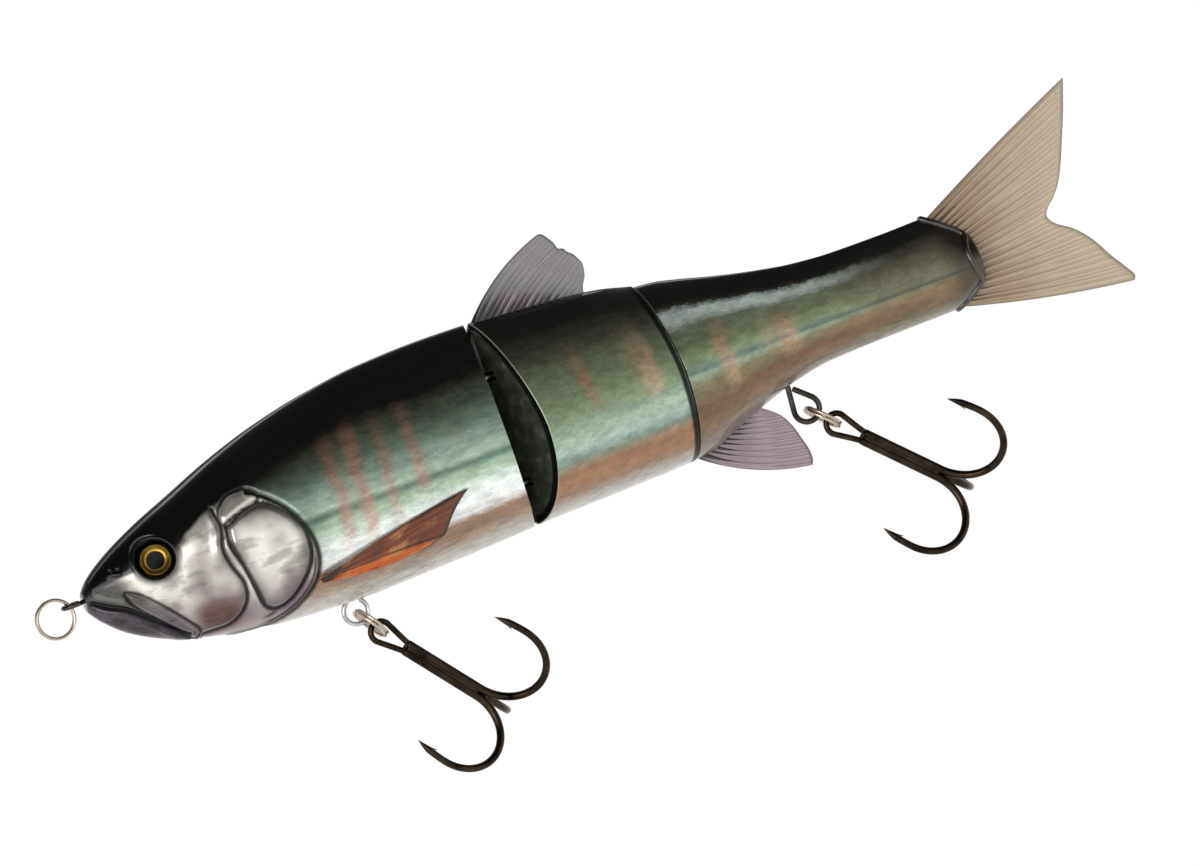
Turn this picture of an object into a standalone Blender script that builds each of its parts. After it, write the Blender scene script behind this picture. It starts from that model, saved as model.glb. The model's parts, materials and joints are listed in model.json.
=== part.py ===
"""A jointed hard swimbait: three hollow body sections on two pinned hinges, a pinned tail fin,
two treble hooks on split rings, and a split ring on the line tie.

Metres, +Z up. The nose points along -X, the head's long axis is X, and the origin is the middle of
the line tie's eye. "along" is a length measured back from the nose of the straight body.
"""

from math import acos, atan2, cos, hypot, pi, radians, sin, tan

import bmesh
import bpy
import numpy as np
from mathutils import Matrix, Vector

MM = 0.001

# Overall sizes of the body.
HEAD_LENGTH = 80.3 * MM
MID_LENGTH = 33.8 * MM
TAIL_LENGTH = 59.7 * MM
BACK_HEIGHT = 22.2 * MM
BELLY_DEPTH = 16.5 * MM
HALF_WIDTH = 11.5 * MM
WIDEST_HEIGHT = 1.0 * MM

# Shells.
WALL = 2.0 * MM
CLEARANCE = 0.3 * MM  # between any two pieces that touch
BULKHEAD = 10.0 * MM

# The two body joints.
JOINT_GAP = 0.5 * MM
JOINT_NOSE = 2.5 * MM  # from a hinge axis forward to its section's front
JOINT_SWEEP = radians(9.5)  # how far each joint face leans back from square
FRONT_BEND = radians(16.5)
REAR_BEND = radians(-18.5)
NECK_REACH = 1.3  # a wire eye's centre to its neck, in loop radii
EYE_WIRE = 0.5 * MM
EYE_LOOP = 1.35 * MM
EYE_SHANK = 7.0 * MM
PIN_RADIUS = 0.5 * MM
FRONT_EYE_HEIGHTS = (12.0 * MM, -7.5 * MM)
REAR_EYE_HEIGHTS = (8.5 * MM, -7.5 * MM)
PIN_ABOVE_EYE = 2.5 * MM

# Line tie, hangers and rings.
TIE_WIRE = 0.42 * MM
TIE_LOOP = 1.7 * MM
TIE_SHANK = 9.0 * MM
TIE_TO_NOSE = 2.1 * MM
HANGER_WIRE = 0.42 * MM
BELLY_HANGER_LOOP = 2.2 * MM
BELLY_HANGER_DROP = 1.8 * MM  # loop centre below the belly
BELLY_HANGER_AT = 45.1 * MM
BELLY_HANGER_SHANK = 8.0 * MM
REAR_HANGER_LOOP = 2.3 * MM
REAR_HANGER_NECK = 5.1 * MM  # loop centre to the neck, where the wire enters the belly
REAR_HANGER_LEAN = radians(22)
REAR_HANGER_AT = 20.1 * MM  # behind the rear joint plane
REAR_HANGER_SHANK = 7.0 * MM
REAR_HANGER_CLOSED = 0.74  # share of the way to the neck that the loop's second leg comes back
RING_RADIUS = 3.35 * MM  # to the middle of the wire
RING_WIRE = 0.29 * MM
RING_TURN_GAP = 0.05 * MM

# Treble hooks.
HOOK_WIRE = 0.58 * MM
HOOK_EYE_WIRE = 0.54 * MM
HOOK_EYE_LOOP = 1.85 * MM
HOOK_EYE_LENGTH = 5.9 * MM  # eye centre to the neck
HOOK_SHANK_RADIUS = 1.15 * MM
HOOK_EYE_TO_BEND = 28.4 * MM
HOOK_GAP = 15.3 * MM  # across a bend, shank to spear
HOOK_SPEAR = 6.0 * MM
HOOK_TIP_LEAN = 0.8 * MM  # how far a point leans back in towards the shank
HOOK_ROLL = radians(-8)  # of the three arms about the shank
HOOK_EYE_SLACK = 1.0 * MM  # eye centre ahead of the ring's wire, where the ring leaves room

# Eyes, fins, ballast.
EYE_AT = 12.9 * MM
EYE_HEIGHT = 3.0 * MM
EYE_RADIUS = 2.9 * MM
FOIL_THICKNESS = 0.5 * MM
LENS_HEIGHT = 1.3 * MM
LENS_SUNK = 0.6  # share of the lens below the skin
FIN_THICKNESS = 1.1 * MM
FIN_ROOT_DEPTH = 1.4 * MM
PECTORAL_THICKNESS = 0.8 * MM
PECTORAL_PEG = 1.0 * MM
PECTORAL_PEG_LENGTH = 3.0 * MM
PECTORAL_PEG_AT = (41.0 * MM, -10.3 * MM)
TAIL_PIN_AT = 49.0 * MM  # behind the rear joint plane
TAIL_PIN_RADIUS = 0.6 * MM
TAIL_FIN_THICKNESS = 1.2 * MM
TAIL_FIN_SWING = radians(9)
BALLAST_TOP = -8.0 * MM

# Where things come along the straight body.
FRONT_HINGE = HEAD_LENGTH + JOINT_GAP + JOINT_NOSE
MID_FRONT = HEAD_LENGTH + JOINT_GAP
MID_REAR = MID_FRONT + MID_LENGTH
REAR_HINGE = MID_REAR + JOINT_GAP + JOINT_NOSE
TAIL_FRONT = MID_REAR + JOINT_GAP
TAIL_END = TAIL_FRONT + TAIL_LENGTH

# Shares of a section's length, of BACK_HEIGHT, of BELLY_DEPTH and of HALF_WIDTH.
HEAD_SHAPE = [
    (0.00, 0.07, 0.13, 0.15),
    (0.02, 0.15, 0.26, 0.25),
    (0.07, 0.27, 0.48, 0.40),
    (0.15, 0.41, 0.685, 0.575),
    (0.25, 0.55, 0.83, 0.74),
    (0.36, 0.70, 0.93, 0.87),
    (0.48, 0.83, 0.975, 0.955),
    (0.60, 0.92, 1.00, 0.99),
    (0.75, 0.985, 0.98, 1.00),
    (0.88, 1.00, 0.96, 1.00),
    (1.00, 0.99, 0.93, 0.99),
]
MID_SHAPE = [
    (0.00, 0.99, 0.92, 0.985),
    (0.50, 0.925, 0.92, 0.95),
    (0.80, 0.86, 0.92, 0.925),
    (1.00, 0.785, 0.91, 0.905),
]
TAIL_SHAPE = [
    (0.00, 0.77, 0.91, 0.90),
    (0.06, 0.755, 0.885, 0.86),
    (0.12, 0.72, 0.80, 0.80),
    (0.24, 0.635, 0.635, 0.66),
    (0.36, 0.563, 0.50, 0.53),
    (0.48, 0.51, 0.42, 0.44),
    (0.60, 0.487, 0.40, 0.385),
    (0.75, 0.484, 0.388, 0.355),
    (0.875, 0.49, 0.38, 0.34),
    (1.00, 0.25, 0.19, 0.32),
]
SIDES = {"left": -1, "right": 1}
HALF_RING = 12  # faces from the back's ridge down to the keel


def clear_scene():
    for obj in list(bpy.data.objects):
        bpy.data.objects.remove(obj, do_unlink=True)


def material(name, colour, roughness=0.4, metallic=0.0, alpha=1.0):
    made = bpy.data.materials.new(name)
    made.use_nodes = True
    shader = made.node_tree.nodes["Principled BSDF"]
    shader.inputs["Base Color"].default_value = (*colour, 1.0)
    shader.inputs["Roughness"].default_value = roughness
    shader.inputs["Metallic"].default_value = metallic
    shader.inputs["Alpha"].default_value = alpha
    return made


def finish(obj, look, parent=None, location=(0, 0, 0), turn=None):
    """Gives an object its material, smooth shading and place under its parent."""
    if look:
        obj.data.materials.append(look)
    if obj.type == "MESH":
        obj.data.shade_smooth()
        obj.data.set_sharp_from_angle(angle=radians(35))
    obj.parent = parent
    obj.location = location
    if turn is not None:
        obj.rotation_euler = turn
    return obj


def helper(obj):
    """A cutter or guide: not a piece of the lure."""
    obj.hide_render = True
    obj.display_type = "WIRE"
    return obj


def empty(name, parent=None, location=(0, 0, 0), turn=(0, 0, 0)):
    obj = bpy.data.objects.new(name, None)
    bpy.context.scene.collection.objects.link(obj)
    obj.empty_display_size = 3 * MM
    obj.parent = parent
    obj.location = location
    obj.rotation_euler = turn
    return obj


def mesh_object(name, bm):
    bmesh.ops.recalc_face_normals(bm, faces=bm.faces)
    if bm.calc_volume(signed=True) < 0:
        bmesh.ops.reverse_faces(bm, faces=bm.faces)
    mesh = bpy.data.meshes.new(name)
    bm.to_mesh(mesh)
    bm.free()
    obj = bpy.data.objects.new(name, mesh)
    bpy.context.scene.collection.objects.link(obj)
    return obj


def boolean(target, other, operation="DIFFERENCE"):
    step = target.modifiers.new(f"{operation.lower()} {other.name}", "BOOLEAN")
    step.operation = operation
    step.object = other
    return target


def profile(rows, share):
    """One row of a section's shape at a share of its length, on a curve with no overshoot."""
    table = np.array(rows)
    x, values = table[:, 0], table[:, 1:]
    slopes = np.diff(values, axis=0) / np.diff(x)[:, None]
    same = slopes[:-1] * slopes[1:] > 0
    mean = 2 * slopes[:-1] * slopes[1:] / np.where(same, slopes[:-1] + slopes[1:], 1)
    tangents = np.vstack([slopes[0], np.where(same, mean, 0), slopes[-1]])
    i = int(np.clip(np.searchsorted(x, share) - 1, 0, len(x) - 2))
    step = x[i + 1] - x[i]
    t = min(max((share - x[i]) / step, 0), 1)
    return (
        (1 + 2 * t) * (1 - t) ** 2 * values[i]
        + t * (1 - t) ** 2 * step * tangents[i]
        + t * t * (3 - 2 * t) * values[i + 1]
        + t * t * (t - 1) * step * tangents[i + 1]
    )


def section_at(along):
    """(top, bottom, half width, roundness of the back) at a distance behind the nose."""
    if along < MID_FRONT:
        rows, share = HEAD_SHAPE, along / HEAD_LENGTH
    elif along < TAIL_FRONT:
        rows, share = MID_SHAPE, (along - MID_FRONT) / MID_LENGTH
    else:
        rows, share = TAIL_SHAPE, (along - TAIL_FRONT) / TAIL_LENGTH
    top, bottom, width = profile(rows, share)
    sharp = min(along / (0.7 * HEAD_LENGTH), 1)
    return top * BACK_HEIGHT, -bottom * BELLY_DEPTH, width * HALF_WIDTH, sharp


def half_ring(along, inset=0.0):
    """Points (y, z) down one flank, from the back's ridge to the keel."""
    top, bottom, width, sharp = section_at(along)
    top, bottom, width = top - inset, bottom + inset, width - inset
    middle = min(WIDEST_HEIGHT, 0.5 * (top + bottom) + 0.2 * (top - bottom))
    points = []
    for i in range(HALF_RING + 1):
        angle = pi * i / HALF_RING
        up = cos(angle)
        if i <= HALF_RING / 2:
            y = sin(angle) ** (1 + 0.48 * sharp)
            z = middle + (top - middle) * max(up, 0) ** (1 + 0.29 * sharp)
        else:
            y = sin(angle) ** 1.12
            z = middle - (middle - bottom) * max(-up, 0) ** 0.95
        points.append((width * y, z))
    return points


def half_width_at(along, height):
    """The body's half width at a height, read from its half ring."""
    ring = np.array(half_ring(along))[::-1]
    return float(np.interp(height, ring[:, 1], ring[:, 0]))


def half_loft(name, stations, side, inner, inset=0.0, front_lean=0.0, rear_lean=0.0):
    """A closed half of the body from the first station to the last, with a flat face at y = inner."""
    bm = bmesh.new()
    loops = []
    for n, along in enumerate(stations):
        lean = front_lean if n == 0 else rear_lean if n == len(stations) - 1 else 0.0
        ring = half_ring(along, inset)
        ring = [(inner, ring[0][1]), *ring[1:-1], (inner, ring[-1][1])]
        loops.append([bm.verts.new((along + lean * y, side * y, z)) for y, z in ring])
    for a, b in zip(loops, loops[1:]):
        for i in range(len(a)):
            j = (i + 1) % len(a)
            bm.faces.new((a[i], a[j], b[j], b[i]))
    bm.faces.new(loops[0])
    bm.faces.new(loops[-1])
    return mesh_object(name, bm)


def full_loft(name, stations, inset):
    """A closed length of the whole body."""
    bm = bmesh.new()
    loops = []
    for along in stations:
        flank = half_ring(along, inset)
        around = [(-y, z) for y, z in flank] + [(y, z) for y, z in flank[-2:0:-1]]
        loops.append([bm.verts.new((along, y, z)) for y, z in around])
    for a, b in zip(loops, loops[1:]):
        for i in range(len(a)):
            j = (i + 1) % len(a)
            bm.faces.new((a[i], a[j], b[j], b[i]))
    bm.faces.new(loops[0])
    bm.faces.new(loops[-1])
    return mesh_object(name, bm)


def box(name, low, high):
    bm = bmesh.new()
    bmesh.ops.create_cube(bm, size=1.0)
    size = [b - a for a, b in zip(low, high)]
    middle = [(a + b) / 2 for a, b in zip(low, high)]
    bmesh.ops.scale(bm, vec=size, verts=bm.verts)
    bmesh.ops.translate(bm, vec=middle, verts=bm.verts)
    return mesh_object(name, bm)


def cylinder(name, radius, start, end, sides=16):
    """A cylinder from start to end, tuples in the parent's frame."""
    start, end = Vector(start), Vector(end)
    axis = end - start
    bm = bmesh.new()
    bmesh.ops.create_cone(
        bm, cap_ends=True, segments=sides, radius1=radius, radius2=radius, depth=axis.length
    )
    bm.transform(
        Matrix.Translation((start + end) / 2) @ axis.to_track_quat("Z", "Y").to_matrix().to_4x4()
    )
    return mesh_object(name, bm)


def plate(name, outline, thickness):
    """A flat plate in the XZ plane from a closed outline, its thickness centred on y = 0."""
    bm = bmesh.new()
    face = bm.faces.new([bm.verts.new((x, -thickness / 2, z)) for x, z in outline])
    made = bmesh.ops.extrude_face_region(bm, geom=[face])
    grown = [v for v in made["geom"] if isinstance(v, bmesh.types.BMVert)]
    bmesh.ops.translate(bm, vec=(0, thickness, 0), verts=grown)
    return mesh_object(name, bm)


def wire(name, points, radius, resolution=2, taper=0):
    """A round wire along points; the last few points narrow to a tip when taper is set."""
    curve = bpy.data.curves.new(name, "CURVE")
    curve.dimensions = "3D"
    curve.bevel_depth = radius
    curve.bevel_resolution = resolution
    curve.use_fill_caps = True
    spline = curve.splines.new("POLY")
    spline.points.add(len(points) - 1)
    for i, (spot, point) in enumerate(zip(spline.points, points)):
        spot.co = (*point, 1.0)
        left = len(points) - 1 - i
        spot.radius = 1.0 if left >= taper else 0.15 + 0.85 * left / taper
    obj = bpy.data.objects.new(name, curve)
    bpy.context.scene.collection.objects.link(obj)
    return obj


def as_mesh(obj):
    """The same shape as a mesh object, which a Boolean can take."""
    graph = bpy.context.evaluated_depsgraph_get()
    mesh = bpy.data.meshes.new_from_object(obj.evaluated_get(graph))
    name = obj.name
    bpy.data.objects.remove(obj, do_unlink=True)
    bm = bmesh.new()
    bm.from_mesh(mesh)
    bmesh.ops.remove_doubles(bm, verts=bm.verts, dist=0.001 * MM)
    bpy.data.meshes.remove(mesh)
    return mesh_object(name, bm)


def eye_path(loop, reach, shank, steps=18, both=False):
    """(a, b) points of a wire eye round (0, 0): a shank along +a, then the loop, open at its end.

    The legs touch the loop where they are tangent to it. With both set, the second leg runs back to
    the neck beside the first.
    """
    half = both * reach[1]
    far = hypot(reach[0], half)
    start = atan2(half, reach[0]) + acos(loop / far)
    arc = [
        (loop * cos(a), -loop * sin(a)) for a in np.linspace(start, 2 * pi - start, steps)
    ]
    path = [(reach[0], -half), *arc]
    if shank:
        path.insert(0, (reach[0] + shank, -half))
    if both:
        path.append((reach[0], half))
    return path


def body_frames():
    """One empty for each body, on its joint's axis."""
    head = empty("head_frame", location=(TIE_TO_NOSE, 0, 0))
    mid = empty("mid_frame", head, (FRONT_HINGE, 0, 0), (0, 0, FRONT_BEND))
    tail = empty("tail_frame", mid, (REAR_HINGE - FRONT_HINGE, 0, 0), (0, 0, REAR_BEND))
    return {"head": head, "mid": mid, "tail": tail}


BODY_START = {"head": 0.0, "mid": FRONT_HINGE, "tail": REAR_HINGE}


def on_body(obj, body, frames, look=None):
    """Places a piece whose points are measured along the straight body."""
    return finish(obj, look, frames[body], (-BODY_START[body], 0, 0))


def stations_of(rows, front, length):
    return [front + share * length for share, *_ in rows]


def shell_cutters(body, frames):
    """The hollows, holes and slots of one section, as hidden cutters, in the straight body's lengths."""
    eye_bore = EYE_WIRE + CLEARANCE
    cutters = []
    if body == "head":
        bore = TIE_WIRE + CLEARANCE
        cutters.append(cylinder("tie_hole", bore, (-MM, 0, 0), (tie_end() + MM, 0, 0)))
        low = keel(BELLY_HANGER_AT) - BELLY_HANGER_DROP
        radius = BELLY_HANGER_LOOP + HANGER_WIRE + CLEARANCE
        slot = HANGER_WIRE + CLEARANCE
        at = BELLY_HANGER_AT
        cutters.append(cylinder("belly_slot", radius, (at, -slot, low), (at, slot, low), 20))
        top = low + NECK_REACH * BELLY_HANGER_LOOP + BELLY_HANGER_SHANK + MM
        cutters.append(cylinder("belly_hole", slot, (at, 0, low), (at, 0, top)))
    if body in ("head", "mid"):
        hinge = FRONT_HINGE if body == "head" else REAR_HINGE
        heights = FRONT_EYE_HEIGHTS if body == "head" else REAR_EYE_HEIGHTS
        start = hinge - NECK_REACH * EYE_LOOP - EYE_SHANK - MM
        for z in heights:
            cutters.append(cylinder(f"{body}_eye_hole", eye_bore, (start, 0, z), (hinge, 0, z)))
    if body in ("mid", "tail"):
        hinge = FRONT_HINGE if body == "mid" else REAR_HINGE
        heights = FRONT_EYE_HEIGHTS if body == "mid" else REAR_EYE_HEIGHTS
        reach = EYE_LOOP + EYE_WIRE + CLEARANCE
        for z in heights:
            low = (hinge - 2 * JOINT_NOSE, -reach, z - eye_bore)
            cutters.append(box(f"{body}_eye_slot", low, (hinge + reach, reach, z + eye_bore)))
        top = heights[0] + PIN_ABOVE_EYE + CLEARANCE
        bore = PIN_RADIUS + CLEARANCE
        start = (hinge, 0, -1.5 * BELLY_DEPTH)
        cutters.append(cylinder(f"{body}_pin_hole", bore, start, (hinge, 0, top)))
    if body == "mid":
        cutters.append(dorsal_fin("dorsal_slot", CLEARANCE, root_only=True))
    if body == "tail":
        cutters.append(pelvic_fin("pelvic_slot", CLEARANCE, root_only=True))
        cutters.append(tail_slot())
        bore = TAIL_PIN_RADIUS + CLEARANCE
        at = TAIL_FRONT + TAIL_PIN_AT
        start = (at, 0, -BELLY_DEPTH)
        cutters.append(cylinder("tail_pin_hole", bore, start, (at, 0, tail_pin_top() + CLEARANCE)))
        neck, top = rear_hanger_neck()
        bore = HANGER_WIRE + CLEARANCE
        up = (top - neck).normalized()
        hole = cylinder("rear_hanger_hole", bore, neck - up * MM, top + up * CLEARANCE)
        cutters.append(hole)
    for cutter in cutters:
        helper(on_body(cutter, body, frames))
    return cutters


def tie_end():
    """How far behind the nose the line tie's shank ends."""
    return NECK_REACH * TIE_LOOP + TIE_SHANK - TIE_TO_NOSE


def keel(along):
    return section_at(along)[1]


def ridge(along):
    return section_at(along)[0]


def tail_pin_top():
    return 0.45 * ridge(TAIL_FRONT + TAIL_PIN_AT)


def rear_hanger_neck():
    """Where the rear hanger's wire enters the belly, and where its shank ends, in the straight body."""
    at = TAIL_FRONT + REAR_HANGER_AT
    neck = Vector((at, 0, keel(at)))
    up = Vector((-sin(REAR_HANGER_LEAN), 0, cos(REAR_HANGER_LEAN)))
    return neck, neck + REAR_HANGER_SHANK * up


def cavities(body):
    """(front, rear) of each hollow of a section, with solid webs left for what is fixed in them."""
    if body == "head":
        web = BELLY_HANGER_LOOP + HANGER_WIRE + CLEARANCE + 3 * WALL
        return [
            (0.25 * HEAD_LENGTH, BELLY_HANGER_AT - web),
            (BELLY_HANGER_AT + web, HEAD_LENGTH - BULKHEAD),
        ]
    if body == "mid":
        return [(FRONT_HINGE + 2.5 * WALL, MID_REAR - BULKHEAD)]
    return [(REAR_HINGE + 2.5 * WALL, TAIL_FRONT + REAR_HANGER_AT - 3.5 * WALL)]


def shells(body, rows, frames, looks):
    """The left and right shell of a section, hollow, with a gap at the parting line."""
    front, length = {
        "head": (0.0, HEAD_LENGTH),
        "mid": (MID_FRONT, MID_LENGTH),
        "tail": (TAIL_FRONT, TAIL_LENGTH),
    }[body]
    lean = tan(JOINT_SWEEP)
    cutters = shell_cutters(body, frames)
    made = {}
    for name, side in SIDES.items():
        shell = half_loft(
            f"{body}_shell_{name}",
            stations_of(rows, front, length),
            side,
            CLEARANCE / 2,
            front_lean=0 if body == "head" else lean,
            rear_lean=0 if body == "tail" else -lean,
        )
        on_body(shell, body, frames, looks[body])
        for n, (start, end) in enumerate(cavities(body)):
            hollow = half_loft(
                f"{body}_hollow_{name}_{n}",
                np.linspace(start, end, 4),
                side,
                -MM,
                inset=WALL,
            )
            boolean(shell, helper(on_body(hollow, body, frames)))
        for cutter in cutters:
            boolean(shell, cutter)
        made[name] = shell
    return made


def ballast(body, frames, look):
    """A keel weight in each hollow, clear of the walls and flat on top."""
    for n, (start, end) in enumerate(cavities(body)):
        inset = WALL + CLEARANCE
        name = f"{body}_ballast" if body != "head" else ("chin_ballast", "head_ballast")[n]
        stations = np.linspace(start + CLEARANCE, end - CLEARANCE, 4)
        weight = full_loft(name, stations, inset)
        on_body(weight, body, frames, look)
        low = (start - MM, -HALF_WIDTH, BALLAST_TOP)
        over = box(f"{name}_trim", low, (end + MM, HALF_WIDTH, BACK_HEIGHT))
        boolean(weight, helper(on_body(over, body, frames)))


def head_fittings(frames, looks):
    """The line tie and belly hanger, wire eyes whose shanks are fixed between the head shells."""
    path = eye_path(TIE_LOOP, (NECK_REACH * TIE_LOOP, 0), TIE_SHANK)
    tie = wire("line_tie", [(a, b, 0) for a, b in path], TIE_WIRE)
    finish(tie, looks["dark_wire"], frames["head"], (-TIE_TO_NOSE, 0, 0))
    path = eye_path(BELLY_HANGER_LOOP, (NECK_REACH * BELLY_HANGER_LOOP, 0), BELLY_HANGER_SHANK)
    hanger = wire("belly_hanger", [(b, 0, a) for a, b in path], HANGER_WIRE)
    low = keel(BELLY_HANGER_AT) - BELLY_HANGER_DROP
    finish(hanger, looks["silver_wire"], frames["head"], (BELLY_HANGER_AT, 0, low))


def joint_eyes(body, frames, look):
    """The two screw eyes of a section's rear bulkhead, with their loops on the next hinge axis."""
    hinge = FRONT_HINGE if body == "head" else REAR_HINGE
    heights = FRONT_EYE_HEIGHTS if body == "head" else REAR_EYE_HEIGHTS
    place = "front" if body == "head" else "rear"
    for level, z in zip(("upper", "lower"), heights):
        path = eye_path(EYE_LOOP, (NECK_REACH * EYE_LOOP, 0), EYE_SHANK, steps=14)
        eye = wire(f"{place}_joint_{level}_eye", [(-a, b, 0) for a, b in path], EYE_WIRE, 1)
        finish(eye, look, frames[body], (hinge - BODY_START[body], 0, z))


def joint_pin(body, frames, look):
    """The hinge pin that a section carries in its front bulkhead."""
    hinge = BODY_START[body]
    heights = FRONT_EYE_HEIGHTS if body == "mid" else REAR_EYE_HEIGHTS
    place = "front" if body == "mid" else "rear"
    low = (0, 0, keel(hinge) + WALL)
    high = (0, 0, heights[0] + PIN_ABOVE_EYE)
    pin = cylinder(f"{place}_joint_pin", PIN_RADIUS, low, high, 12)
    finish(pin, look, frames[body])


def surface_turn(along, height, side):
    """A rotation whose Z is the body's outward normal at a point of a flank, and the point."""
    step = 0.5 * MM
    here = Vector((along, side * half_width_at(along, height), height))
    back = Vector((along + step, side * half_width_at(along + step, height), height))
    above = Vector((along, side * half_width_at(along, height + step), height + step))
    normal = (back - here).normalized().cross((above - here).normalized()) * -side
    return here, normal.normalized().to_track_quat("Z", "Y")


def lens_cap(name, radius, height):
    """A spherical cap with a flat back, turned about Z."""
    bm = bmesh.new()
    sphere = (radius**2 + height**2) / (2 * height)
    spread = acos((sphere - height) / sphere)
    arc = [
        bm.verts.new((sphere * sin(a), 0, sphere * cos(a) - (sphere - height)))
        for a in np.linspace(0, spread, 5)
    ]
    arc.append(bm.verts.new((0, 0, 0)))
    edges = [bm.edges.new(pair) for pair in zip(arc, arc[1:])]
    bmesh.ops.spin(
        bm, geom=arc + edges, cent=(0, 0, 0), axis=(0, 0, 1), angle=2 * pi, steps=20, use_merge=True
    )
    bmesh.ops.remove_doubles(bm, verts=bm.verts, dist=0.001 * MM)
    return mesh_object(name, bm)


def eyes(shell, frames, looks):
    """On each side a foil iris and a clear domed lens in a round pocket of the shell."""
    for name, side in SIDES.items():
        spot, turn = surface_turn(EYE_AT, EYE_HEIGHT, side)
        out = turn @ Vector((0, 0, 1))
        floor = -(FOIL_THICKNESS + LENS_SUNK * LENS_HEIGHT + 2 * CLEARANCE)
        pocket = cylinder(
            f"{name}_eye_pocket",
            EYE_RADIUS + CLEARANCE,
            spot + out * floor,
            spot + out * 4 * EYE_RADIUS,
            20,
        )
        boolean(shell[name], helper(on_body(pocket, "head", frames)))
        foil = cylinder(f"{name}_eye_foil", EYE_RADIUS, (0, 0, 0), (0, 0, FOIL_THICKNESS), 20)
        at = spot + out * (floor + CLEARANCE)
        finish(foil, looks["foil"], frames["head"], at, turn.to_euler())
        lens = lens_cap(f"{name}_eye_lens", EYE_RADIUS, LENS_HEIGHT)
        at = spot + out * (floor + 2 * CLEARANCE + FOIL_THICKNESS)
        finish(lens, looks["lens"], frames["head"], at, turn.to_euler())


def dorsal_fin(name, grow=0.0, root_only=False):
    """The dorsal fin and its root tongue in the back of the middle section, or the slot for it."""
    start, end = MID_FRONT + 0.08 * MID_LENGTH, MID_FRONT + 0.64 * MID_LENGTH
    depth = FIN_ROOT_DEPTH + grow
    root = [(end + grow, ridge(end) - depth), (start - grow, ridge(start) - depth)]
    if root_only:
        over = 3 * MM
        outline = [*root, (start - grow, ridge(start) + over), (end + grow, ridge(end) + over)]
        return plate(name, outline, FIN_THICKNESS + 2 * grow)
    rise = CLEARANCE
    front, rear = MID_FRONT + 0.03 * MID_LENGTH, MID_FRONT + 0.71 * MID_LENGTH
    blade = [
        (start, ridge(start) + rise),
        (front, ridge(front) + rise),
        (MID_FRONT + 3.6 * MM, ridge(front) + 3.4 * MM),
        (MID_FRONT + 9.3 * MM, ridge(front) + 7.2 * MM),
        (MID_FRONT + 13.9 * MM, ridge(front) + 9.1 * MM),
        (MID_FRONT + 19.3 * MM, ridge(front) + 10.0 * MM),
        (MID_FRONT + 21.6 * MM, ridge(front) + 7.4 * MM),
        (MID_FRONT + 24.8 * MM, ridge(front) + 4.4 * MM),
        (MID_FRONT + 25.6 * MM, ridge(front) + 1.2 * MM),
        (rear, ridge(rear) + rise),
        (end, ridge(end) + rise),
    ]
    return plate(name, [*root, *blade], FIN_THICKNESS)


def pelvic_fin(name, grow=0.0, root_only=False):
    """The fin under the front of the tail section, with its root tongue, or the slot for it."""
    start, end = TAIL_FRONT + 5.0 * MM, TAIL_FRONT + 12.0 * MM
    depth = FIN_ROOT_DEPTH + grow
    root = [(start - grow, keel(start) + depth), (end + grow, keel(end) + depth)]
    if root_only:
        over = 3 * MM
        outline = [*root, (end + grow, keel(end) - over), (start - grow, keel(start) - over)]
        return plate(name, outline, FIN_THICKNESS + 2 * grow)
    front, rear = TAIL_FRONT + 1.2 * MM, TAIL_FRONT + 13.6 * MM
    low = keel(TAIL_FRONT)
    blade = [
        (end, keel(end) - CLEARANCE),
        (rear, keel(rear) - CLEARANCE),
        (TAIL_FRONT + 16.8 * MM, low + 2.4 * MM),
        (TAIL_FRONT + 18.4 * MM, low - 0.2 * MM),
        (TAIL_FRONT + 19.4 * MM, low - 5.6 * MM),
        (TAIL_FRONT + 19.2 * MM, low - 7.7 * MM),
        (TAIL_FRONT + 16.2 * MM, low - 7.4 * MM),
        (TAIL_FRONT + 11.5 * MM, low - 6.0 * MM),
        (TAIL_FRONT + 6.0 * MM, low - 3.4 * MM),
        (front, low - 1.2 * MM),
        (front, keel(front) - CLEARANCE),
        (start, keel(start) - CLEARANCE),
    ]
    return plate(name, [*root, *blade], FIN_THICKNESS)


# Millimetres behind the nose, and the heights of the fin's upper and lower edge there.
PECTORAL_SHAPE = [
    (38.8, -10.1, -10.9),
    (43.3, -8.9, -12.0),
    (47.1, -8.1, -12.6),
    (51.4, -7.3, -13.0),
    (55.3, -6.7, -13.1),
    (58.9, -6.2, -12.3),
    (62.3, -5.8, -9.5),
    (65.4, -5.1, -7.2),
    (68.7, -4.6, -5.1),
]


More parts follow.
